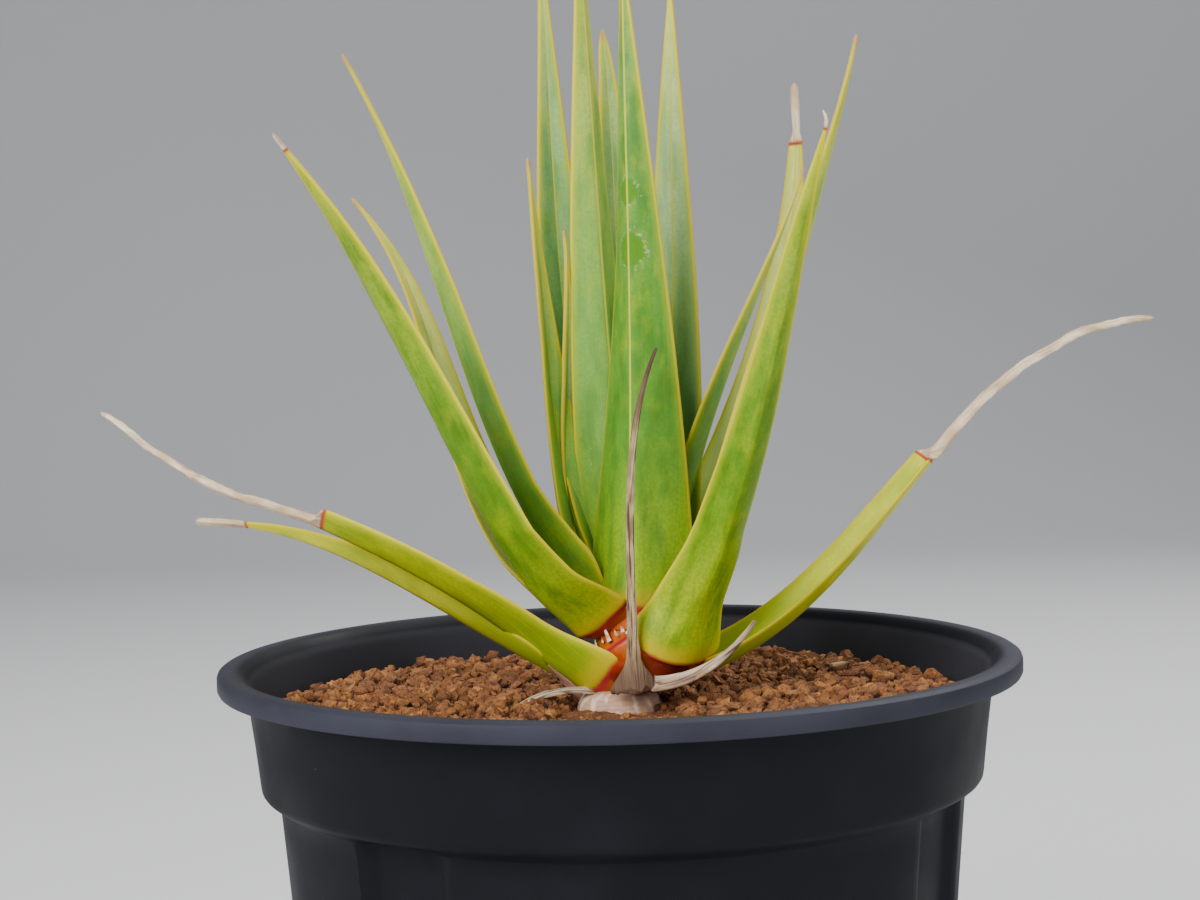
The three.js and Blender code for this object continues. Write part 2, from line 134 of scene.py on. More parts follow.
def add_node(tree, kind, inputs=None, **settings):
    """Adds a shader node, with values or other nodes' outputs on its inputs."""
    node = tree.nodes.new(kind)
    for key, value in settings.items():
        setattr(node, key, value)
    for key, value in (inputs or {}).items():
        if isinstance(value, bpy.types.NodeSocket):
            tree.links.new(value, node.inputs[key])
        else:
            node.inputs[key].default_value = value
    return node


def new_finish(name, **constants):
    """A material and its shader, with what stays the same all over it set on the shader."""
    material = bpy.data.materials.new(name)
    material.use_nodes = True
    shader = material.node_tree.nodes["Principled BSDF"]
    for key, value in constants.items():
        shader.inputs[key].default_value = value
    return material, material.node_tree, shader


def mixed(tree, amount, low, high):
    """The colour that goes from low to high as amount goes from 0 to 1."""
    inputs = {"Factor": amount, 6: low, 7: high}
    return add_node(tree, "ShaderNodeMix", inputs, data_type="RGBA").outputs[2]


def ranged(tree, value, low, high, to_low=0.0, to_high=1.0):
    """A soft step from to_low to to_high as value goes from low to high."""
    inputs = {"Value": value, "From Min": low, "From Max": high, "To Min": to_low,
              "To Max": to_high}
    step = add_node(tree, "ShaderNodeMapRange", inputs, interpolation_type="SMOOTHSTEP")
    return step.outputs["Result"]


def worked(tree, operation, first, second=0.0):
    """One sum done on shader values."""
    node = add_node(tree, "ShaderNodeMath", {0: first, 1: second}, operation=operation)
    return node.outputs["Value"]


def clouded(tree, where, scale, detail):
    """Plain noise on some coordinates."""
    inputs = {"Vector": where, "Scale": scale, "Detail": detail}
    return add_node(tree, "ShaderNodeTexNoise", inputs).outputs["Fac"]


def bumped(tree, shader, height, strength, depth):
    """Gives a shader fine relief from a height, depth in metres."""
    inputs = {"Height": height, "Strength": strength, "Distance": depth}
    bump = add_node(tree, "ShaderNodeBump", inputs)
    tree.links.new(bump.outputs["Normal"], shader.inputs["Normal"])


POT_BLACK = (0.004, 0.0043, 0.0065, 1)
POT_HAZE = (0.012, 0.012, 0.0155, 1)
# Painted sheen: a lighter grey-blue on the rim for light reflecting off its rolled lip
RIM_PAINTED_SHEEN = (0.031, 0.032, 0.045, 1)
# Painted reflection: a lighter grey for the inner face of the wall, for the light it reflects
INNER_PAINTED_REFLECTION = (0.026, 0.026, 0.032, 1)
DUST = (0.2, 0.18, 0.16, 1)
# Heights and distances from the axis, in metres, between which the painted sheen on the rim
# comes in, and the line up the wall's slope that parts its inner face, lightened by a painted
# reflection, from its outer one
RIM_HEIGHTS = (0.1208, 0.1216)
RIM_REACHES = (0.0705, 0.0725)
INNER_HEIGHTS = (0.105, 0.107)
INNER_LINE = (0.0542, 0.0547)
WALL_SLOPE = 0.12
plastic, tree, shader = new_finish("black_polypropylene", **{"Specular IOR Level": 0.1})
place = add_node(tree, "ShaderNodeTexCoord").outputs["Object"]
cloud = clouded(tree, place, 45, 5)
dust = clouded(tree, place, 900, 2)
grain = clouded(tree, place, 2600, 2)
level = add_node(tree, "ShaderNodeSeparateXYZ", {"Vector": place}).outputs["Z"]
flat = add_node(tree, "ShaderNodeVectorMath", {0: place, 1: (1, 1, 0)}, operation="MULTIPLY")
reach = add_node(tree, "ShaderNodeVectorMath", {0: flat.outputs["Vector"]}, operation="LENGTH")
reach = reach.outputs["Value"]
on_rim = ranged(tree, reach, *RIM_REACHES)
on_rim = worked(tree, "MULTIPLY", ranged(tree, level, *RIM_HEIGHTS), on_rim)
# Painted sheen: the rim's top and outer lip are lightened in patches, where light reflects off them
painted_rim_sheen = worked(tree, "MULTIPLY", on_rim, ranged(tree, cloud, 0.3, 0.65, 0.65, 1))
across_wall = worked(tree, "SUBTRACT", reach, worked(tree, "MULTIPLY", level, WALL_SLOPE))
inner = ranged(tree, across_wall, *INNER_LINE, 1, 0)
inner = worked(tree, "MULTIPLY", inner, ranged(tree, level, *INNER_HEIGHTS))
colour = mixed(tree, ranged(tree, cloud, 0.45, 0.75, 0, 0.35), POT_BLACK, POT_HAZE)
colour = mixed(tree, painted_rim_sheen, colour, RIM_PAINTED_SHEEN)
# Painted reflection: the inner face of the wall above the soil is lightened
colour = mixed(tree, inner, colour, INNER_PAINTED_REFLECTION)
colour = mixed(tree, ranged(tree, dust, 0.79, 0.84, 0, 0.7), colour, DUST)
tree.links.new(colour, shader.inputs["Base Color"])
tree.links.new(ranged(tree, cloud, 0.3, 0.7, 0.5, 0.64), shader.inputs["Roughness"])
bumped(tree, shader, grain, 0.12, 0.0002)
pot.data.materials.clear()
pot.data.materials.append(plastic)
shade_over(pot, 32)
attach(pot, "root")
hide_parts("nursery_pot")

# The soil: fired clay granules that fill the pot to about 10 mm below its rim. The frame's solid is
# the filling under them, and the granules on top are broken lumps, each a copy of one rough block.
SOIL_LEVEL = 115
SOIL_RADIUS = 66
STEM_X = 4.5
FOOT_X = -0.1
GRAIN_PITCH = 1.6
GRAIN_SIZES = (1, 2.7)
LOOSE_GRAINS = 2300
GRAIN_SHIFT = 0.5
GRAIN_LIFTS = (-0.4, 0.6)
LOOSE_SIZES = (1, 2.6)
LOOSE_LIFTS = (0.8, 1.6)
CORNER_KNOCK = 0.16
BLOCK_BEVEL = 0.17
# The distance between the bed's rows, as a share of the pitch
ROW_STEP = 0.866
# Clear of granules: the foot and a strip in front of it, and more of both for the loose ones. In
# a wider patch there the bed's granules are smaller and lie lower.
FOOT_CLEARANCE = 8.6
STRIP_BEFORE_FOOT = (-9, 7)
LOOSE_CLEARANCE = 10.5
LOOSE_FREE_PATCH = (-4, 12)
LOW_PATCH = (-6, 11)
LOW_PATCH_SIZE = 2
LOW_PATCH_SINK = 1
RELIEF = 0.8
RELIEF_SIZE = 9
# The clay's dark: its own darker patches and pits, and the painted shade on each granule's
# underside
CLAY_DARK_AND_SHADE = (0.022, 0.007, 0.002, 1)
CLAY_BROWN = (0.21, 0.066, 0.013, 1)
CLAY_LIGHT = (0.46, 0.18, 0.045, 1)
clay, tree, shader = new_finish("fired_clay", Roughness=0.92)
place = add_node(tree, "ShaderNodeTexCoord").outputs["Object"]
shade = add_node(tree, "ShaderNodeAttribute", attribute_name="shade").outputs["Fac"]
painted_underside_shade = add_node(tree, "ShaderNodeAttribute", attribute_name="painted_underside_shade").outputs["Fac"]
patch = clouded(tree, place, 420, 4)
crumb = clouded(tree, place, 2300, 4)
lump = mixed(tree, shade, CLAY_BROWN, CLAY_LIGHT)
lump = mixed(tree, ranged(tree, patch, 0.35, 0.7, 0.55, 0), lump, CLAY_DARK_AND_SHADE)
lump = mixed(tree, ranged(tree, crumb, 0.3, 0.5, 0.75, 0), lump, CLAY_DARK_AND_SHADE)
# Painted shade: the lower part of each granule is darkened, where the granules round it shade it
lump = mixed(tree, ranged(tree, painted_underside_shade, 0.15, 0.75, 0, 0.92), lump, CLAY_DARK_AND_SHADE)
tree.links.new(lump, shader.inputs["Base Color"])
bumped(tree, shader, crumb, 0.9, 0.0005)
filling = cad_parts["clay_soil"]
filling.data.materials.clear()
filling.data.materials.append(clay)


def soil_height(x, y):
    """The height of the filling's surface, by the same waves as in the part's source."""
    k = 2 * math.pi / RELIEF_SIZE
    waves = math.sin(k * x + 1.3 * math.sin(0.7 * k * y))
    waves *= math.sin(k * y + math.sin(0.9 * k * x))
    return SOIL_LEVEL + RELIEF * (0.6 * waves + 0.4 * math.sin(0.37 * k * (x - y)))


bpy.ops.object.select_all(action="DESELECT")
bpy.ops.mesh.primitive_cube_add(size=1)
block = bpy.context.object
bpy.ops.object.mode_set(mode="EDIT")
bpy.ops.mesh.bevel(offset=BLOCK_BEVEL, segments=1, affect="EDGES")
bpy.ops.object.mode_set(mode="OBJECT")
block_corners = [corner.co.copy() for corner in block.data.vertices]
block_faces = [tuple(face.vertices) for face in block.data.polygons]
bpy.data.objects.remove(block)


def scattered(name, places, seed):
    """One mesh of rough lumps, a copy of the block at each (x, y, z, size)."""
    draw = random.Random(seed)
    corners = []
    faces = []
    shades = []
    painted_shades = []
    for x, y, z, size in places:
        start = len(corners)
        turn = Quaternion([draw.gauss(0, 1) for _ in range(4)]).normalized()
        stretch = Vector((size * draw.uniform(0.8, 1.2), size, size * draw.uniform(0.68, 0.95)))
        for corner in block_corners:
            knock = Vector([draw.uniform(-CORNER_KNOCK, CORNER_KNOCK) for _ in range(3)])
            lump = turn @ ((corner + knock) * stretch)
            corners.append((Vector((x, y, z)) + lump) * MM)
            # How far down its granule each corner lies, which sets how much painted shade it gets
            painted_shades.append(min(1, max(0, 0.5 - lump.z / size)))
        faces += [tuple(start + index for index in face) for face in block_faces]
        shades += [draw.random() ** 1.4] * len(block_corners)
    mesh = bpy.data.meshes.new(name)
    mesh.from_pydata(corners, [], faces)
    mesh.attributes.new("shade", "FLOAT", "POINT").data.foreach_set("value", shades)
    mesh.attributes.new("painted_underside_shade", "FLOAT", "POINT").data.foreach_set("value", painted_shades)
    piece = bpy.data.objects.new(name, mesh)
    bpy.context.collection.objects.link(piece)
    mesh.materials.append(clay)
    shade_over(piece, 20)
    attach(piece, "root")


def near_foot(x, y):
    """True on the foot, and on the strip in front of it that stays clear of granules."""
    left, right = STRIP_BEFORE_FOOT
    in_strip = left < x < right and -FOOT_CLEARANCE - 1 < y < 0
    return math.hypot(x - FOOT_X, y) < FOOT_CLEARANCE or in_strip


def in_patch(x, y, patch):
    """True in front of the foot, in a patch given by its rear edge and half its width."""
    rear, half_width = patch
    return y < rear and abs(x - FOOT_X) < half_width


draw = random.Random(15)
bed = []
rows = int(SOIL_RADIUS / (GRAIN_PITCH * ROW_STEP)) + 1
for row in range(-rows, rows + 1):
    for column in range(-rows - 4, rows + 5):
        x = (column + 0.5 * (row % 2)) * GRAIN_PITCH + draw.uniform(-GRAIN_SHIFT, GRAIN_SHIFT)
        y = row * GRAIN_PITCH * ROW_STEP + draw.uniform(-GRAIN_SHIFT, GRAIN_SHIFT)
        small, large = GRAIN_SIZES
        size = small + (large - small) * draw.random() ** 1.5
        lift = draw.uniform(*GRAIN_LIFTS)
        if math.hypot(x, y) > SOIL_RADIUS - 0.4 - size / 2 or near_foot(x, y):
            continue
        if in_patch(x, y, LOW_PATCH):
            size, lift = min(size, LOW_PATCH_SIZE), lift - LOW_PATCH_SINK
        bed.append((x, y, soil_height(x, y) + lift, size))
third = len(bed) // 3
scattered("clay_granules_front", bed[:third], 21)
scattered("clay_granules_middle", bed[third:2 * third], 23)
scattered("clay_granules_back", bed[2 * third:], 24)
loose = []
while len(loose) < LOOSE_GRAINS:
    reach = (SOIL_RADIUS - 2.2) * math.sqrt(draw.random())
    turn = draw.uniform(0, 2 * math.pi)
    x, y = reach * math.cos(turn), reach * math.sin(turn)
    if math.hypot(x - FOOT_X, y) > LOOSE_CLEARANCE and not in_patch(x, y, LOOSE_FREE_PATCH):
        z = soil_height(x, y) + draw.uniform(*LOOSE_LIFTS)
        loose.append((x, y, z, draw.uniform(*LOOSE_SIZES)))
scattered("clay_granules_loose", loose, 22)

# The stem: a short swollen foot with pale, finely ringed bark, which stands in the soil, and on it
# the waxy orange-red crown of clasping leaf bases. Both grew as one piece of living tissue.
STEM_SIDES = 120
RIM_LEVEL = 125
FOOT_RINGS = (
    (5.2, -26), (6.6, -21), (7.6, -16), (8, -12.5), (8.2, -11.2), (8.15, -10.2), (7.85, -9.2),
    (7.4, -8.3), (6.75, -7.5), (5.95, -6.8), (4.95, -6.2), (3.7, -5.75), (2.4, -5.5),
)
CROWN_RADIUS = 10.1
CROWN_TOP = 11.8
CROWN_BELLY = -1.2
CROWN_BOTTOM = -6.5
CROWN_STEPS = 60
UPPER_TIER_INSET = 0.8
# The seam between the crown's two tiers lies in a plane: its height on the axis, and its slope
SEAM_HEIGHT = 0.2
SEAM_SLOPE = 0.76
SEAM_AZIMUTH = 307


def turned_stem(name, rings, middle_x):
    """A closed round piece of the stem, turned up round an upright line at middle_x."""
    bpy.ops.object.select_all(action="DESELECT")
    first_radius = rings[0][0] * MM
    bpy.ops.mesh.primitive_circle_add(vertices=STEM_SIDES, radius=first_radius, fill_type="NGON")
    piece = bpy.context.object
    piece.name = piece.data.name = name
    bpy.ops.object.mode_set(mode="EDIT")
    bpy.ops.mesh.region_to_loop()
    turn_up(rings)
    close_and_face_out()
    for corner in piece.data.vertices:
        corner.co += Vector((middle_x, 0, RIM_LEVEL + rings[0][1])) * MM
    return piece


def textured(tree, where, scale, detail=3):
    """Noise on coordinates that are first stretched by scale."""
    stretched = add_node(tree, "ShaderNodeMapping", {"Vector": where, "Scale": scale})
    return clouded(tree, stretched.outputs["Vector"], 1, detail)


foot = turned_stem("stem_foot", FOOT_RINGS, FOOT_X)
for corner in foot.data.vertices:
    spot = corner.co / MM
    swell = 0.3 * noise.noise(spot * 0.16)
    swell += 0.05 * math.sin(5.2 * spot.z + noise.noise(spot * 0.3))
    out = Vector((spot.x - FOOT_X, spot.y, 0)).normalized()
    corner.co += out * swell * MM
BARK_PALE = (0.4, 0.225, 0.145, 1)
BARK_BROWN_AND_SHADOW = (0.2, 0.095, 0.055, 1)
BARK_WHITE = (0.62, 0.44, 0.34, 1)
# The heights in metres between which the foot's top darkens to brown: a painted shadow of the crown
FOOT_PAINTED_SHADOW = (0.1176, 0.1192)
bark, tree, shader = new_finish("ringed_bark", Roughness=0.55)
place = add_node(tree, "ShaderNodeTexCoord").outputs["Object"]
rings = add_node(
    tree, "ShaderNodeTexWave", {"Vector": place, "Scale": 330, "Distortion": 5, "Detail": 3},
    bands_direction="Z",
).outputs["Fac"]
flake = textured(tree, place, (420, 420, 110), 5)
stain = textured(tree, place, (190, 190, 120))
skin = mixed(tree, ranged(tree, rings, 0, 0.5, 0.75, 1), BARK_BROWN_AND_SHADOW, BARK_PALE)
skin = mixed(tree, ranged(tree, flake, 0.52, 0.64, 0, 0.9), skin, BARK_WHITE)
skin = mixed(tree, ranged(tree, stain, 0.5, 0.68, 0, 0.7), skin, BARK_BROWN_AND_SHADOW)
height = add_node(tree, "ShaderNodeSeparateXYZ", {"Vector": place}).outputs["Z"]
# Painted shadow: the foot's top, under the crown, is darkened to the bark's brown
skin = mixed(tree, ranged(tree, height, *FOOT_PAINTED_SHADOW, 0, 0.85), skin, BARK_BROWN_AND_SHADOW)
tree.links.new(skin, shader.inputs["Base Color"])
bumped(tree, shader, rings, 0.3, 0.0003)
foot.data.materials.append(bark)
shade_over(foot, 60)
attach(foot, "root")
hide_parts("stem_crown")

crown_rings = []
for step in range(CROWN_STEPS + 1):
    height = CROWN_BOTTOM + (CROWN_TOP - CROWN_BOTTOM) * step / CROWN_STEPS
    if height > CROWN_BELLY:
        share = ((height - CROWN_BELLY) / (CROWN_TOP - CROWN_BELLY)) ** 2.6
    else:
        share = 0.62 * ((CROWN_BELLY - height) / (CROWN_BELLY - CROWN_BOTTOM)) ** 2
    crown_rings.append((CROWN_RADIUS * math.sqrt(max(0.01, 1 - share)), height))
crown = turned_stem("leaf_base_crown", crown_rings, STEM_X)
seam_turn = math.radians(SEAM_AZIMUTH)
for corner in crown.data.vertices:
    spot = corner.co / MM
    out = Vector((spot.x - STEM_X, spot.y, 0))
    reach = out.length
    out.normalize()
    toward = (spot.x - STEM_X) * math.cos(seam_turn) + spot.y * math.sin(seam_turn)
    above = spot.z - RIM_LEVEL - SEAM_HEIGHT - SEAM_SLOPE * toward
    inset = UPPER_TIER_INSET * min(1, max(0, above / 0.7)) + 0.35 * math.exp(-(above / 0.4) ** 2)
    ripple = 0.25 * noise.noise(spot * 0.25) + 0.1 * noise.noise(spot * 0.9)
    corner.co += out * (ripple - inset) * MM * min(1, reach / 3)
CROWN_RED = (0.26, 0.018, 0.005, 1)
CROWN_ORANGE = (0.42, 0.085, 0.003, 1)
# A dark red-brown painted on as shade
CROWN_PAINTED_SHADE = (0.07, 0.007, 0.004, 1)
CROWN_MAGENTA = (0.27, 0.01, 0.024, 1)
CROWN_BROWN = (0.24, 0.055, 0.006, 1)
# In metres, how far the seam's painted line wavers, and how far above the seam it runs
SEAM_WAVER = 0.0012
SEAM_LINE = 0.0005
red, tree, shader = new_finish("waxy_red_base", **{"Roughness": 0.3, "Specular IOR Level": 0.16})
place = add_node(tree, "ShaderNodeTexCoord").outputs["Object"]
blush = clouded(tree, place, 120, 4)
wobble = clouded(tree, place, 260, 2)
normal = (-SEAM_SLOPE * math.cos(seam_turn), -SEAM_SLOPE * math.sin(seam_turn), 1)
lean = add_node(tree, "ShaderNodeVectorMath", {0: place, 1: normal}, operation="DOT_PRODUCT")
level = (RIM_LEVEL + SEAM_HEIGHT - SEAM_SLOPE * STEM_X * math.cos(seam_turn)) * MM
waver = worked(tree, "MULTIPLY", wobble, SEAM_WAVER)
above = worked(tree, "SUBTRACT", lean.outputs["Value"], level)
above = worked(tree, "ADD", above, waver)
upper = ranged(tree, above, 0.0006, 0.0014)
lower = mixed(tree, ranged(tree, blush, 0.36, 0.66), CROWN_RED, CROWN_ORANGE)
topper = mixed(tree, ranged(tree, blush, 0.26, 0.45), CROWN_RED, CROWN_ORANGE)
topper = mixed(tree, ranged(tree, above, 0.004, 0.009), topper, CROWN_BROWN)
skin = mixed(tree, upper, lower, topper)
# Painted shade: the crown well below the seam is darkened, where the leaves above shade it
skin = mixed(tree, ranged(tree, above, -0.006, -0.0035, 0.75, 0), skin, CROWN_PAINTED_SHADE)
far = worked(tree, "ABSOLUTE", worked(tree, "SUBTRACT", above, SEAM_LINE))
skin = mixed(tree, ranged(tree, far, 0.0002, 0.0008, 0.95, 0), skin, CROWN_MAGENTA)
tree.links.new(skin, shader.inputs["Base Color"])
bumped(tree, shader, wobble, 0.2, 0.0004)
crown.data.materials.append(red)
shade_over(crown, 60)
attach(crown, "root")
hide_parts("stem_crown")

# The torn fringe: short white slivers of old sheath that still stand up from the crown's seam,
# where leaves have been pulled off. Each is a flattened spike with its foot in the red skin.
# Azimuth, height from the rim's level, length, width and lean of each sliver
SLIVERS = (
    (206, 1.9, 3.1, 0.9, 22), (219, 3, 1.2, 0.6, -8), (229, 3.6, 4.9, 1.1, 26),
    (239, 4.6, 1.1, 0.7, 8), (247.5, 5.3, 1.3, 0.9, 14), (253, 4.9, 1.3, 1, -14),
)
SLIVER_WHITE = (0.8, 0.72, 0.6, 1)
SLIVER_TAN = (0.62, 0.3, 0.16, 1)
fringe_parts = []
for azimuth, height, length, width, lean in SLIVERS:
    turn = math.radians(azimuth)
    reach = CROWN_RADIUS - 0.45
    bpy.ops.object.select_all(action="DESELECT")
    bpy.ops.mesh.primitive_cone_add(
        vertices=10, radius1=width / 2 * MM, radius2=0, depth=length * MM
    )
    sliver = bpy.context.object
    bpy.ops.object.mode_set(mode="EDIT")
    bpy.ops.transform.translate(value=(0, 0, length * 0.42 * MM))
    bpy.ops.transform.resize(value=(0.4, 1, 1), center_override=(0, 0, 0))
    bpy.ops.mesh.subdivide(number_cuts=2)
    bpy.ops.object.mode_set(mode="OBJECT")
    for corner in sliver.data.vertices:
        share = corner.co.z / (length * MM)
        corner.co.x += 0.5 * MM * share * share
    tilt = Quaternion((1, 0, 0), math.radians(lean))
    stand = Quaternion((0, 0, 1), turn)
    place = Vector((STEM_X + reach * math.cos(turn), reach * math.sin(turn), RIM_LEVEL + height))
    for corner in sliver.data.vertices:
        corner.co = place * MM + stand @ (tilt @ corner.co)
    fringe_parts.append(sliver)
bpy.ops.object.select_all(action="DESELECT")
for sliver in fringe_parts:
    sliver.select_set(True)
bpy.context.view_layer.objects.active = fringe_parts[0]
bpy.ops.object.join()
fringe = bpy.context.object
fringe.name = fringe.data.name = "torn_fringe"
sheath, tree, shader = new_finish("torn_white_sheath", Roughness=0.6)
place = add_node(tree, "ShaderNodeTexCoord").outputs["Object"]
fleck = clouded(tree, place, 900, 3)
skin = mixed(tree, ranged(tree, fleck, 0.48, 0.62), SLIVER_WHITE, SLIVER_TAN)
tree.links.new(skin, shader.inputs["Base Color"])
bumped(tree, shader, fleck, 0.4, 0.0002)
fringe.data.materials.append(sheath)
shade_over(fringe, 50)
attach(fringe, "root")

# The living leaves: stiff, channelled wedges of leaf tissue with a thick midrib and thin yellow
# margins, each clasping the crown with its base. The outer ones have drooped and dried at the tip.
ROOT_LENGTH = 4.2
ROOT_SHARE = 0.04
MARGIN_THICKNESS = 0.75
TIP_HALF_WIDTH = 0.35
NARROW_FOLD = 2.4
DRY_THICKNESS = 0.6
FOOT_WIDTH = 0.8
FOOT_ROUND = 3
LEAF_FACES_ALONG = 150
LEAF_FACES_ROUND = 32
UV_SPAN = 150
# Where along a leaf its folds are given, and where along a dried tail its widths are
FOLD_PLACES = (0, 0.25, 0.6, 1)
TAIL_PLACES = (0, 0.07, 0.35, 0.7, 0.96, 1)
# How a blade's section curls, as the power of its curve, from its base to its tip
CURL_PLACES = (0, 0.15, 1)
CURLS = (1.9, 1.35, 1.2)
# Along the leaf, how far its shape and its colour take to change at the dry joint
JOINT_TAPER = 0.022
JOINT_STAIN = 0.012
# How much the blade's very tip is drawn together, and how far it is lifted
TIP_PINCH = 0.35
TIP_LIFT = 0.3


def between(places, values, s):
    """Straight lines through values at the given places."""
    i = 0
    while i < len(places) - 2 and s > places[i + 1]:
        i += 1
    share = min(1, max(0, (s - places[i]) / (places[i + 1] - places[i])))
    return values[i] + share * (values[i + 1] - values[i])


def smooth(x):
    """A soft step from 0 to 1."""
    x = min(1, max(0, x))
    return x * x * (3 - 2 * x)


def leaf_direction(leaf, s):
    """The way the leaf's line runs at s, from 0 at its base to 1 at its tip."""
    azimuth = math.radians(leaf["azimuth"] + leaf["sway"] * s)
    low, middle, top = leaf["rise"]
    rise = low * (1 - s) * (1 - 2 * s) + 4 * middle * s * (1 - s) + top * s * (2 * s - 1)
    rise = math.radians(rise)
    flat = math.cos(rise)
    return Vector((flat * math.cos(azimuth), flat * math.sin(azimuth), math.sin(rise)))


def leaf_dryness(leaf, s):
    """How far the leaf has dried at s: 0 on the living blade, 1 past the joint."""
    return smooth((s - (1 - leaf["dry"])) / JOINT_TAPER) if leaf.get("dry") else 0


def leaf_half_width(leaf, s):
    """Half the blade's width at s: a wedge with its neck at the base and, on some, a dry tail."""
    if leaf.get("widths"):
        places, widths = zip(*leaf["widths"])
        return max(between(places, widths, s) / 2, TIP_HALF_WIDTH)
    neck = leaf.get("neck", 0.85)
    wedge = (1 - s) ** leaf.get("taper", 1)
    half = leaf["width"] / 2 * wedge * (neck + (1 - neck) * smooth(s / 0.12))
    if leaf.get("dry"):
        dried = between(TAIL_PLACES, leaf["tail"], (s - 1 + leaf["dry"]) / leaf["dry"]) / 2
        half += leaf_dryness(leaf, s) * (dried - half)
    rounding = max(0, 1 - s * leaf["length"] / FOOT_ROUND)
    foot = leaf.get("foot", FOOT_WIDTH)
    half *= foot + (1 - foot) * math.sqrt(1 - rounding * rounding)
    return max(half, TIP_HALF_WIDTH)


def leaf_line(leaf):
    """The points of the leaf's line, one for each cross section, with their s and distance up."""
    azimuth = math.radians(leaf.get("root", leaf["azimuth"]))
    x, y = math.cos(azimuth), math.sin(azimuth)
    out = leaf["out"]
    point = Vector((STEM_X + out * x, out * y, RIM_LEVEL + leaf["height"]))
    rise = math.radians(leaf.get("root_rise", leaf["rise"][0]))
    inwards = Vector((-x * math.cos(rise), -y * math.cos(rise), -math.sin(rise)))
    root_rows = max(2, round(LEAF_FACES_ALONG * ROOT_SHARE))
    length = leaf.get("root_length", ROOT_LENGTH)
    line = []
    for row in range(root_rows):
        below = length * (1 - row / root_rows)
        line.append((0.0, point + inwards * below, -below))
    steps = LEAF_FACES_ALONG - root_rows
    for i in range(steps + 1):
        line.append((i / steps, point.copy(), leaf["length"] * i / steps))
        point += leaf_direction(leaf, (i + 0.5) / steps) * leaf["length"] / steps
    return line


def leaf_share(around):
    """Where a point round the section lies across the blade: -1 and 1 are the two margins."""
    return math.sin(math.pi * (0.5 - abs(2 * around - 1)))


def leaf_corner(leaf, s, point, around):
    """A point of the blade's skin: across its outer face, then back across its inner face."""
    inner = around > 0.5
    t = leaf_share(around)
    along = leaf_direction(leaf, s)
    azimuth = math.radians(leaf["azimuth"] + leaf["sway"] * s)
    roll = math.radians(leaf["roll"][0] + s * (leaf["roll"][1] - leaf["roll"][0]))
    side = Quaternion(along, roll) @ Vector((-math.sin(azimuth), math.cos(azimuth), 0))
    inward = along.cross(side)
    half = leaf_half_width(leaf, s)
    keel = leaf["keel"] + (MARGIN_THICKNESS - leaf["keel"]) * min(1, s * 1.1)
    rolled = max(MARGIN_THICKNESS, DRY_THICKNESS * 2 * half)
    keel += leaf_dryness(leaf, s) * (rolled - keel)
    ease = min(1, half / (NARROW_FOLD * keel))
    fold = math.radians(between(FOLD_PLACES, leaf["fold"], s)) * ease
    curl = between(CURL_PLACES, CURLS, s)
    slope = math.atan(curl * max(abs(t), 1e-4) ** (curl - 1) * math.tan(fold))
    slope *= 1 if t > 0 else -1
    across = half * t * math.cos(fold)
    lift = half * abs(t) ** curl * math.sin(fold)
    edge = MARGIN_THICKNESS * math.sqrt(max(0, 1 - t ** 8))
    thickness = edge + (keel - MARGIN_THICKNESS) * (1 - t * t)
    offset = (MARGIN_THICKNESS - edge) / 2 + (thickness if inner else 0)
    across -= offset * math.sin(slope)
    lift += offset * math.cos(slope)
    if s >= 1:
        across *= TIP_PINCH
        lift = lift * TIP_PINCH + TIP_LIFT
    return point + side * across + inward * lift, half * t, half * (1 - abs(t))


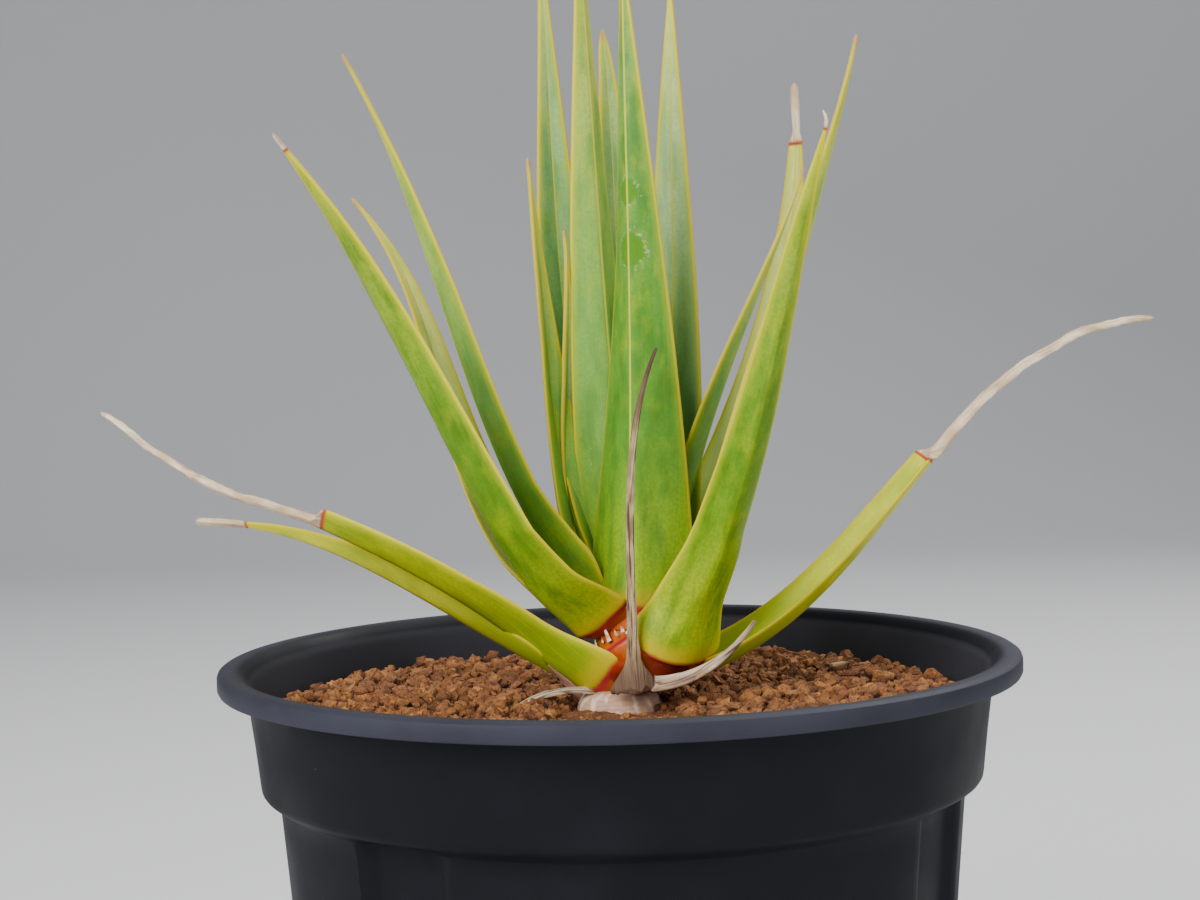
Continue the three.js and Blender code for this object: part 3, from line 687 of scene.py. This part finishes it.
def make_leaf(name, leaf, finish, node=None):
    """Shapes a grid into one closed leaf and notes on it where each point lies on the blade."""
    bpy.ops.object.select_all(action="DESELECT")
    bpy.ops.mesh.primitive_grid_add(
        x_subdivisions=LEAF_FACES_ROUND, y_subdivisions=LEAF_FACES_ALONG, size=1
    )
    piece = bpy.context.object
    piece.name = piece.data.name = name
    mesh = piece.data
    line = leaf_line(leaf)
    notes = {"along": [], "up": [], "edge": [], "across": [], "dryness": []}
    joint = 1 - leaf.get("dry", leaf.get("pale_tip", 0))
    hook = leaf.get("hook", 0)
    for corner in mesh.vertices:
        row = round((corner.co.y + 0.5) * LEAF_FACES_ALONG)
        s, point, up = line[row]
        spot, across, edge = leaf_corner(leaf, s, point, corner.co.x + 0.5)
        dryness = smooth((s - joint) / JOINT_STAIN + 0.5) if joint < 1 else 0
        if leaf.get("dry") and s > joint:
            wave = Vector([noise.noise(point * 0.13 + Vector((i * 7, 0, 0))) for i in range(3)])
            wrinkle = Vector((0, 0, 0.2)) * noise.noise(spot * 0.7)
            spot += (wave * 0.5 + wrinkle) * smooth((s - joint) / 0.12)
        if leaf.get("sag") and s > joint:
            middle, end = leaf["sag"]
            share = (s - joint) / (1 - joint)
            spot.z += middle * math.sin(math.pi * share) ** 2 + end * share ** 3
        if hook and s > joint:
            spot.x += hook * ((s - joint) / (1 - joint)) ** 2
        if leaf.get("base_shift"):
            left, right, reach = leaf["base_shift"]
            share = (leaf_share(corner.co.x + 0.5) + 1) / 2
            spot += (Vector(left) * (1 - share) + Vector(right) * share) * (1 - smooth(s / reach))
        tear = leaf.get("tear", 0) * (1 - smooth(s / 0.04))
        spot.z += tear * noise.noise(Vector((spot.x * 0.9, spot.y * 0.9, 3)))
        spot.x += leaf.get("bow", 0) * smooth((s - 0.09) / 0.13) * (1 - smooth((s - 0.4) / 0.5))
        corner.co = spot * MM
        notes["along"].append(s)
        notes["up"].append(up)
        notes["edge"].append(edge)
        notes["across"].append(across)
        notes["dryness"].append(dryness)
    blade_uv = mesh.uv_layers.active.data
    for loop in mesh.loops:
        v = notes["up"][loop.vertex_index] / UV_SPAN
        u = 0.5 + notes["across"][loop.vertex_index] / UV_SPAN
        blade_uv[loop.index].uv = (u, v)
    for note, values in notes.items():
        mesh.attributes.new(note, "FLOAT", "POINT").data.foreach_set("value", values)
    bpy.ops.object.mode_set(mode="EDIT")
    bpy.ops.mesh.select_all(action="SELECT")
    bpy.ops.mesh.remove_doubles(threshold=0.000002)
    bpy.ops.mesh.fill_holes(sides=0)
    bpy.ops.mesh.normals_make_consistent(inside=False)
    bpy.ops.object.mode_set(mode="OBJECT")
    mesh.materials.append(finish)
    shade_over(piece, 70)
    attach(piece, "root")
    if node:
        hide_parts(node)


def noted(tree, name):
    """What make_leaf noted on the mesh under this name."""
    return add_node(tree, "ShaderNodeAttribute", attribute_name=name).outputs["Fac"]


def dried(tree, uv, tan, pale, dark, streaks=0.9):
    """The colour of dried leaf: fibres and patches of two straw colours, with dark streaks."""
    streak = textured(tree, uv, (330, 16, 1), 4)
    fibre = textured(tree, uv, (900, 30, 1), 3)
    patch = textured(tree, uv, (70, 22, 1))
    straw = mixed(tree, ranged(tree, patch, 0.38, 0.62), tan, pale)
    straw = mixed(tree, ranged(tree, fibre, 0.45, 0.65, 0, 0.5), straw, tan)
    return mixed(tree, ranged(tree, streak, 0.49, 0.62, 0, streaks), straw, dark), streak


MARGIN_GOLD = (0.58, 0.48, 0.015, 1)
MARGIN_PINK = (0.4, 0.28, 0.08, 1)
RIB_GOLD = (0.5, 0.5, 0.03, 1)
FOOT_RED = (0.42, 0.035, 0.035, 1)
FOOT_AMBER = (0.52, 0.38, 0.003, 1)
FLECK_YELLOW = (0.36, 0.4, 0.008, 1)
EDGE_YELLOW = (0.42, 0.45, 0.006, 1)
BLOOM = (0.6, 0.68, 0.5, 1)
WATER_GREEN = (0.07, 0.2, 0.004, 1)
STRAW_TAN = (0.5, 0.36, 0.22, 1)
STRAW_PALE = (0.74, 0.6, 0.42, 1)
STRAW_DARK = (0.17, 0.08, 0.04, 1)
JOINT_RED = (0.38, 0.06, 0.02, 1)
TIP_BROWN = (0.4, 0.22, 0.1, 1)


def leaf_finish(name, foot, middle, top, shade, rib=0.9, glow=0.45, pink=0.5, marks=()):
    """Leaf skin: green that changes from foot to tip, gold margins and midrib, and a red foot."""
    material, tree, shader = new_finish(name, **{"Specular IOR Level": 0.09})
    along, up, edge, dryness = [noted(tree, note) for note in ("along", "up", "edge", "dryness")]
    from_rib = worked(tree, "ABSOLUTE", noted(tree, "across"))
    places = add_node(tree, "ShaderNodeTexCoord")
    uv = places.outputs["UV"]
    body = places.outputs["Object"]
    blotch = textured(tree, uv, (38, 13, 1), 4)
    fleck = textured(tree, uv, (80, 30, 1), 5)
    vein = textured(tree, uv, (420, 4, 1))
    cloud = clouded(tree, body, 130, 4)
    grain = clouded(tree, body, 1700, 2)
    bloom = clouded(tree, body, 1100, 1)
    # The green, from foot to tip, with its mottling and veins
    skin = mixed(tree, ranged(tree, up, 4, 36), foot, middle)
    skin = mixed(tree, ranged(tree, along, 0.4, 0.97), skin, top)
    skin = mixed(tree, ranged(tree, blotch, 0.4, 0.68, 0, 0.7), skin, shade)
    skin = mixed(tree, ranged(tree, cloud, 0.5, 0.7, 0, 0.4), skin, foot)
    skin = mixed(tree, ranged(tree, grain, 0.35, 0.65, 0, 0.3), skin, shade)
    flecked = ranged(tree, fleck, 0.46, 0.72, 0, 0.35)
    flecked = worked(tree, "MULTIPLY", flecked, ranged(tree, along, 0.15, 0.6))
    skin = mixed(tree, flecked, skin, FLECK_YELLOW)
    skin = mixed(tree, ranged(tree, vein, 0.5, 0.66, 0, 0.16), skin, top)
    # Round marks that water left: a clean green patch in a ragged ring of pale bloom
    for u, v, radius in marks:
        centre = (0.5 + u / UV_SPAN, v / UV_SPAN, 0)
        size = radius / UV_SPAN
        ragged = add_node(tree, "ShaderNodeMix", {"Factor": 0.012}, data_type="VECTOR")
        warp = add_node(tree, "ShaderNodeTexNoise", {"Vector": body, "Scale": 420, "Detail": 3})
        tree.links.new(uv, ragged.inputs[4])
        tree.links.new(warp.outputs["Color"], ragged.inputs[5])
        gap = {0: ragged.outputs[1], 1: centre}
        gap = add_node(tree, "ShaderNodeVectorMath", gap, operation="DISTANCE").outputs["Value"]
        skin = mixed(tree, ranged(tree, gap, size * 0.85, size, 0.75, 0), skin, WATER_GREEN)
        ring = ranged(tree, gap, size, size * 1.5, 0.3, 0)
        ring = worked(tree, "MULTIPLY", ring, ranged(tree, grain, 0.56, 0.64))
        ring = worked(tree, "MULTIPLY", ring, ranged(tree, gap, size * 0.75, size))
        skin = mixed(tree, ring, skin, BLOOM)
    skin = mixed(tree, ranged(tree, bloom, 0.8, 0.84, 0, 0.5), skin, BLOOM)
    # The margins and the midrib
    skin = mixed(tree, ranged(tree, edge, 0.2, 2, glow, 0), skin, EDGE_YELLOW)
    skin = mixed(tree, ranged(tree, from_rib, 0.12, 0.34, rib, 0), skin, RIB_GOLD)
    skin = mixed(tree, ranged(tree, edge, 0.3, 0.7, 0.85, 0), skin, MARGIN_GOLD)
    skin = mixed(tree, ranged(tree, edge, 0.02, 0.14, pink, 0), skin, MARGIN_PINK)
    # The foot: amber, then a ragged red line, then the crown's orange on what clasps the crown
    ragged_up = worked(tree, "SUBTRACT", up, worked(tree, "MULTIPLY", cloud, 2.4))
    ragged_up = worked(tree, "ADD", ragged_up, ranged(tree, edge, 0, 4.5, -1.1, 0))
    skin = mixed(tree, ranged(tree, ragged_up, -0.6, 3.6, 0.8, 0), skin, FOOT_AMBER)
    skin = mixed(tree, ranged(tree, ragged_up, -1.5, -0.4, 1, 0), skin, FOOT_RED)
    skin = mixed(tree, ranged(tree, ragged_up, -3.2, -2.2, 0.9, 0), skin, CROWN_ORANGE)
    # The tip, and the dried tail past its red joint
    skin = mixed(tree, ranged(tree, along, 0.965, 0.995, 0, 0.85), skin, TIP_BROWN)
    straw, streak = dried(tree, uv, STRAW_TAN, STRAW_PALE, STRAW_DARK, 0.35)
    skin = mixed(tree, ranged(tree, dryness, 0.02, 0.4), skin, JOINT_RED)
    skin = mixed(tree, ranged(tree, dryness, 0.5, 0.98), skin, straw)
    tree.links.new(skin, shader.inputs["Base Color"])
    tree.links.new(ranged(tree, dryness, 0, 1, 0.42, 0.85), shader.inputs["Roughness"])
    relief = worked(tree, "MULTIPLY", vein, 0.3)
    crease = worked(tree, "MULTIPLY", streak, dryness)
    bumped(tree, shader, worked(tree, "ADD", relief, crease), 0.4, 0.0004)
    return material


bright = leaf_finish(
    "leaf_bright", foot=(0.34, 0.43, 0.002, 1), middle=(0.12, 0.26, 0.008, 1),
    top=(0.28, 0.36, 0.03, 1), shade=(0.045, 0.145, 0.003, 1), rib=0.08, glow=0.6, pink=0.15,
)
front = leaf_finish(
    "leaf_front", foot=(0.26, 0.4, 0.001, 1), middle=(0.095, 0.26, 0.022, 1),
    top=(0.13, 0.28, 0.08, 1), shade=(0.045, 0.16, 0.014, 1), glow=0.4, pink=0.35,
    marks=((-0.3, 77, 2.7), (0.4, 66.5, 3.4)),
)
pale = leaf_finish(
    "leaf_pale", foot=(0.28, 0.4, 0.008, 1), middle=(0.17, 0.36, 0.055, 1),
    top=(0.42, 0.46, 0.09, 1), shade=(0.08, 0.23, 0.035, 1), glow=0.5,
)
blue = leaf_finish(
    "leaf_blue_green", foot=(0.25, 0.4, 0.02, 1), middle=(0.17, 0.37, 0.11, 1),
    top=(0.34, 0.49, 0.2, 1), shade=(0.08, 0.24, 0.06, 1), glow=0.5,
)
silver = leaf_finish(
    "leaf_silver_green", foot=(0.32, 0.47, 0.06, 1), middle=(0.32, 0.52, 0.2, 1),
    top=(0.56, 0.66, 0.32, 1), shade=(0.16, 0.35, 0.13, 1), glow=0.5,
)
faded = leaf_finish(
    "leaf_faded", foot=(0.34, 0.46, 0.04, 1), middle=(0.52, 0.6, 0.18, 1),
    top=(0.72, 0.68, 0.18, 1), shade=(0.38, 0.5, 0.16, 1), glow=0.5,
)
ageing = leaf_finish(
    "leaf_ageing", foot=(0.2, 0.28, 0.002, 1), middle=(0.32, 0.36, 0.001, 1),
    top=(0.6, 0.5, 0.002, 1), shade=(0.14, 0.22, 0.001, 1), rib=0.1, glow=0.7, pink=0.1,
)
yellowing = leaf_finish(
    "leaf_yellowing", foot=(0.26, 0.38, 0.003, 1), middle=(0.6, 0.62, 0.03, 1),
    top=(0.7, 0.62, 0.02, 1), shade=(0.36, 0.44, 0.01, 1), rib=0.15, glow=0.5, pink=0.1,
)

# Each leaf in the frame's order. In degrees: the azimuth that it leaves the stem by and its sway
# from there to the tip, its line's rise at base, middle and tip, its roll at base and tip, and its
# fold at FOLD_PLACES. In millimetres: how far out from the crown's axis and up from the rim it
# starts, its length, its width, and its midrib's thickness, the keel. On some leaves root and
# root_rise turn the base, neck, foot and taper shape the wedge, dry and pale_tip are the withered
# share of the length, tail holds its widths, and base_shift, sag, hook and bow bend a part.
LIVING_LEAVES = (
    {"node": "leaf_left_low", "azimuth": 202, "sway": 4, "out": 12.8, "height": 0.8,
     "length": 111, "width": 28, "rise": (48, 65, 51), "roll": (-16, 30),
     "fold": (60, 27, 23, 15), "keel": 2.2, "root_rise": 5, "pale_tip": 0.032,
     "base_shift": ((-1.4, 0, 1.6), (1.4, -0.4, 4), 0.16), "finish": bright},
    {"node": "leaf_right_front", "azimuth": 315, "sway": -4, "out": 10.8, "height": -1,
     "length": 106, "width": 20, "rise": (62, 69, 68), "roll": (-32, -36),
     "fold": (34, 48, 38, 15), "keel": 2.2, "neck": 1.1, "root": 305, "root_rise": 10,
     "foot": 0.8, "pale_tip": 0.03, "hook": -1.2,
     "base_shift": ((-1.2, -2.4, 0), (0.6, -1.2, 0), 0.11), "bow": 1.2, "finish": bright},
    {"node": "leaf_drooping_left", "azimuth": 178, "sway": -29, "out": 13, "height": -7.5,
     "length": 114, "width": 20, "rise": (47, 23.5, 26), "roll": (12, 26),
     "fold": (42, 35, 47, 10), "keel": 2, "neck": 1.3, "root_rise": 15, "dry": 0.485,
     "tail": (4.4, 3.3, 2.9, 2.5, 2, 1), "foot": 0.68,
     "base_shift": ((1.9, -0.6, 0), (2.5, -2.6, -0.2), 0.08), "sag": (-1.9, 1.3),
     "finish": ageing},
    {"node": "leaf_drooping_right", "azimuth": 2, "sway": 7, "out": 10.8, "height": -4.4,
     "length": 113, "width": 16.5, "rise": (16, 50, -1), "roll": (6, 34),
     "fold": (30, 38, 38, 12), "keel": 1.2, "neck": 1, "root_rise": 5, "dry": 0.468,
     "tail": (4, 3.2, 2.6, 2.2, 1.4, 0.7), "finish": yellowing},
    {"node": "leaf_drooping_left_back", "azimuth": 164, "sway": -10, "out": 14.2, "height": -6.2,
     "length": 88, "width": 21, "rise": (24, 25, -5), "roll": (3, 30), "fold": (26, 32, 47, 10),
     "keel": 1.8, "neck": 0.55, "root_rise": 10, "root_length": 5.5, "dry": 0.14,
     "tail": (2.6, 2.5, 2.4, 2.5, 2.3, 1.2), "finish": yellowing},
    {"node": "leaf_right_outer", "azimuth": 337, "sway": 0, "out": 10.4, "height": 2.5,
     "length": 115, "width": 20, "rise": (72, 72, 76), "roll": (-38, 0), "fold": (42, 17, 38, 15),
     "keel": 2, "root_rise": 30, "base_shift": ((3, 2, 0), (0, 0, 0), 0.6), "finish": pale},
    {"node": "leaf_left_back", "azimuth": 170, "sway": 4, "out": 9.7, "height": 3, "length": 97,
     "width": 21, "rise": (29, 74, 48), "roll": (-24, -40), "fold": (43, 32, 30, 15), "keel": 2,
     "root_rise": 10, "bow": -1.1, "finish": faded},
    {"node": "leaf_front_centre", "azimuth": 249, "sway": -8, "out": 8.2, "height": 9.6,
     "length": 123, "width": 27.4, "rise": (101, 91, 92), "roll": (0, -15),
     "fold": (32, 33, 35, 15), "keel": 2.2, "taper": 0.94, "finish": front},
    {"node": "leaf_left_upper", "azimuth": 187, "sway": 7, "out": 8.8, "height": 6.5,
     "length": 116, "width": 22, "rise": (49, 73, 61), "roll": (-2, 7), "fold": (54, 28, 40, 15),
     "keel": 2, "neck": 0.55, "root": 166, "finish": pale},
    {"node": "leaf_right_back", "azimuth": 44, "sway": 0, "out": 8.5, "height": 6, "length": 113,
     "width": 18, "rise": (53, 67, 97), "roll": (-2, 3), "fold": (45, 34, 26, 12), "keel": 1.8,
     "taper": 0.7, "dry": 0.105, "tail": (2.5, 1.5, 1.8, 2, 1.6, 0.9), "finish": faded},
    {"node": "leaf_right_inner", "azimuth": 7, "sway": -4, "out": 8.4, "height": 8, "length": 87,
     "width": 19, "rise": (88, 69, 71), "roll": (-9, -6), "fold": (45, 35, 33, 15), "keel": 1.8,
     "neck": 0.55, "root": 30, "finish": pale},
    {"node": "leaf_short_left", "azimuth": 149, "sway": 0, "out": 9, "height": 6, "length": 90,
     "width": 17, "rise": (65, 84, 84), "roll": (-19, 0), "fold": (44, 29, 32, 15), "keel": 1.6,
     "finish": pale},
    {"node": "leaf_tall_right", "azimuth": 58, "sway": 2, "out": 6.5, "height": 9, "length": 120,
     "width": 20, "rise": (71, 88, 87), "roll": (-4, 8), "fold": (16, 12, 12, 10), "keel": 1.8,
     "taper": 0.85, "finish": silver},
    {"node": "leaf_centre_left", "azimuth": 301, "sway": 3, "out": -1.8, "height": 10.4,
     "length": 129, "width": 23, "rise": (103, 95, 97), "roll": (-18, 9),
     "fold": (47, 42, 35, 15), "keel": 1.8, "neck": 0.6, "taper": 0.84, "finish": pale},
    {"node": "leaf_young_inner", "azimuth": 141, "sway": 0, "out": 6.5, "height": 8.4,
     "length": 75, "width": 12, "rise": (42, 91, 83), "roll": (-10, -2), "fold": (44, 34, 35, 15),
     "keel": 1.4, "neck": 0.6, "finish": blue},
    {"node": "leaf_inner_back", "azimuth": 99, "sway": 5, "out": 8, "height": 9, "length": 113,
     "width": 13, "rise": (66, 87, 71), "roll": (1, 2), "fold": (42, 32, 25, 15), "keel": 1.6,
     "taper": 0.5, "finish": blue},
    {"node": "leaf_tall_left", "azimuth": 122, "sway": -3, "out": 7.9, "height": 9.2,
     "length": 135, "width": 22, "rise": (57, 84, 83), "roll": (-6, -17),
     "fold": (46, 37, 20, 15), "keel": 1.8, "neck": 0.7, "finish": blue},
)
for leaf in LIVING_LEAVES:
    make_leaf(leaf["node"].replace("leaf_", "blade_", 1), leaf, leaf["finish"], leaf["node"])

# The dried leaves: one thin withered leaf that stands in front of the crown on its papery base,
# torn shreds of old leaf at the crown's foot, a brown sheath, and a scrap of straw on the granules.
WITHERED_TAN = (0.24, 0.15, 0.075, 1)
WITHERED_PALE = (0.52, 0.38, 0.2, 1)
WITHERED_DARK = (0.04, 0.016, 0.009, 1)
WITHERED_FOOT = (0.1, 0.048, 0.027, 1)
WITHERED_TIP = (0.06, 0.022, 0.012, 1)
SHRED_TAN = (0.3, 0.2, 0.115, 1)
SHRED_PALE = (0.55, 0.43, 0.3, 1)
SHEATH_BROWN = (0.24, 0.1, 0.06, 1)
SHEATH_PALE = (0.4, 0.2, 0.13, 1)
SHEATH_DARK = (0.06, 0.02, 0.014, 1)
UNDER_BROWN = (0.2, 0.11, 0.07, 1)
UNDER_PALE = (0.36, 0.24, 0.16, 1)


def withered_finish(name, tan, pale_tan, dark, dark_tip, dark_foot=0.3):
    """Papery dead leaf, with fibres along it and, on some, a tip that has gone nearly black."""
    material, tree, shader = new_finish(name, Roughness=0.8)
    uv = add_node(tree, "ShaderNodeTexCoord").outputs["UV"]
    straw, streak = dried(tree, uv, tan, pale_tan, dark)
    along = noted(tree, "along")
    straw = mixed(tree, ranged(tree, along, 0.62, 0.95, 0, dark_tip), straw, WITHERED_TIP)
    straw = mixed(tree, ranged(tree, along, 0.02, 0.14, dark_foot, 0), straw, WITHERED_FOOT)
    tree.links.new(straw, shader.inputs["Base Color"])
    bumped(tree, shader, streak, 0.9, 0.0005)
    return material


stalk_skin = withered_finish("withered_leaf", WITHERED_TAN, WITHERED_PALE, WITHERED_DARK, 0.95, 0.9)
shred_skin = withered_finish("torn_dry_leaf", SHRED_TAN, SHRED_PALE, WITHERED_DARK, 0)
sheath_skin = withered_finish("old_brown_sheath", SHEATH_BROWN, SHEATH_PALE, SHEATH_DARK, 0)
under_skin = withered_finish("torn_brown_leaf", UNDER_BROWN, UNDER_PALE, WITHERED_DARK, 0)
DRY_LEAVES = (
    {"name": "withered_leaf_front", "node": "dry_leaf_front", "azimuth": 125, "sway": -120,
     "root": 263, "out": 13, "height": -5, "length": 63.4, "rise": (84, 86, 66),
     "roll": (145, 270), "fold": (40, 40, 30, 15), "keel": 0.9, "root_rise": 60,
     "root_length": 0.8,
     "widths": ((0, 13), (0.03, 9.6), (0.06, 6), (0.09, 3.9), (0.15, 2.6),
                (0.3, 1.9), (0.55, 1.7), (0.8, 1.3), (1, 0.6)), "tear": 1.3,
     "finish": stalk_skin},
    {"name": "withered_shred_right", "node": "dry_shred_right", "azimuth": 335, "sway": 50,
     "root": 283, "out": 10.4, "height": -4.8, "length": 23, "rise": (0, 34, 48),
     "roll": (60, 20), "fold": (30, 30, 30, 15), "keel": 0.8, "root_length": 1,
     "widths": ((0, 4), (0.2, 3.8), (0.4, 3), (0.65, 1.8), (0.85, 1.1), (1, 0.6)),
     "finish": shred_skin},
    {"name": "withered_shred_left", "node": "dry_shred_left", "azimuth": 187, "sway": 0,
     "root": 200, "out": 9.4, "height": -7, "length": 15, "rise": (10, -8, -30),
     "roll": (-40, -20), "fold": (20, 20, 20, 15), "keel": 0.8, "root_length": 1,
     "widths": ((0, 2), (0.3, 1.6), (0.6, 1.9), (1, 1.4)), "finish": shred_skin},
    {"name": "withered_shred_under", "node": None, "azimuth": 330, "sway": 55, "root": 281,
     "out": 10.6, "height": -5.4, "length": 17, "rise": (4, 26, 38), "roll": (40, 30),
     "fold": (30, 30, 30, 15), "keel": 0.8, "root_length": 1,
     "widths": ((0, 3), (0.4, 2.6), (0.75, 1.6), (1, 0.8)), "finish": under_skin},
    {"name": "withered_sheath", "node": None, "azimuth": 178, "sway": 0, "root": 183, "out": 12.2,
     "height": -7.4, "length": 8, "rise": (46, 44, 40), "roll": (60, 60),
     "fold": (20, 20, 20, 15), "keel": 0.8, "root_length": 4,
     "widths": ((0, 4.4), (0.4, 4), (1, 0.8)), "finish": sheath_skin},
    {"name": "straw_scrap", "node": None, "azimuth": 12, "sway": 20, "root": 33, "out": 45,
     "height": -7.6, "length": 4, "rise": (8, 2, -4), "roll": (0, 30), "fold": (20, 20, 20, 15),
     "keel": 0.7, "root_length": 0.3, "widths": ((0, 1.3), (0.6, 1.1), (1, 0.7)),
     "finish": stalk_skin},
)
for leaf in DRY_LEAVES:
    make_leaf(leaf["name"], leaf, leaf["finish"], leaf["node"])

# The studio: a pale sweep of paper that rises behind the pot, soft lights, and the camera where the
# photograph was taken from, low in front of the rim.
SWEEP_HALF = 2.2
SWEEP_HEIGHT = 2.5
SWEEP_BEND = 0.8
PAPER_GREY = (0.62, 0.62, 0.63, 1)
bpy.ops.object.select_all(action="DESELECT")
bpy.ops.mesh.primitive_plane_add(size=2 * SWEEP_HALF)
sweep = bpy.context.object
sweep.name = sweep.data.name = "paper_sweep"
bpy.ops.object.mode_set(mode="EDIT")
bpy.ops.mesh.select_mode(type="EDGE")
bpy.ops.mesh.select_all(action="DESELECT")
bpy.ops.object.mode_set(mode="OBJECT")
for edge in sweep.data.edges:
    edge.select = all(sweep.data.vertices[i].co.y > 0 for i in edge.vertices)
bpy.ops.object.mode_set(mode="EDIT")
bpy.ops.mesh.extrude_region_move(TRANSFORM_OT_translate={"value": (0, 0, SWEEP_HEIGHT)})
bpy.ops.object.mode_set(mode="OBJECT")
for edge in sweep.data.edges:
    ends = [sweep.data.vertices[i].co for i in edge.vertices]
    edge.select = all(end.y > 0 and end.z < 0.01 for end in ends)
bpy.ops.object.mode_set(mode="EDIT")
bpy.ops.mesh.bevel(offset=SWEEP_BEND, segments=16, affect="EDGES")
bpy.ops.object.mode_set(mode="OBJECT")
bpy.ops.object.shade_smooth()
paper, tree, shader = new_finish("pale_paper", **{"Base Color": PAPER_GREY, "Roughness": 0.9})
sweep.data.materials.append(paper)

LIGHTS_AIM = (0, 0, 0.17)
SKY_GREY = (0.75, 0.77, 0.8, 1)
SKY_STRENGTH = 0.34


def soft_light(name, place, size, power):
    """A square soft box that shines from place towards the plant."""
    bpy.ops.object.light_add(type="AREA", location=place)
    light = bpy.context.object
    light.name = name
    light.data.size = size
    light.data.energy = power
    light.rotation_euler = (Vector(LIGHTS_AIM) - Vector(place)).to_track_quat("-Z", "Y").to_euler()


soft_light("key_light", (-0.65, -0.8, 0.8), 0.8, 28)
soft_light("fill_light", (0.8, -0.75, 0.45), 0.9, 8)
soft_light("back_light", (0.5, 0.6, 1.1), 0.8, 15)
world = bpy.data.worlds.new("studio")
bpy.context.scene.world = world
world.use_nodes = True
sky = world.node_tree.nodes["Background"]
sky.inputs["Color"].default_value = SKY_GREY
sky.inputs["Strength"].default_value = SKY_STRENGTH

CAMERA_PLACE = (0, -0.41561, 0.18558)
CAMERA_FORWARD = (-0.00617, 0.99856, -0.05321)
CAMERA_ROLL = -0.02667
CAMERA_LENS = 66.43
bpy.ops.object.camera_add(location=CAMERA_PLACE)
camera = bpy.context.object
camera.data.lens = CAMERA_LENS
camera.data.sensor_width = 36
look = Vector(CAMERA_FORWARD).to_track_quat("-Z", "Y") @ Quaternion((0, 0, 1), CAMERA_ROLL)
camera.rotation_euler = look.to_euler()
bpy.context.scene.camera = camera
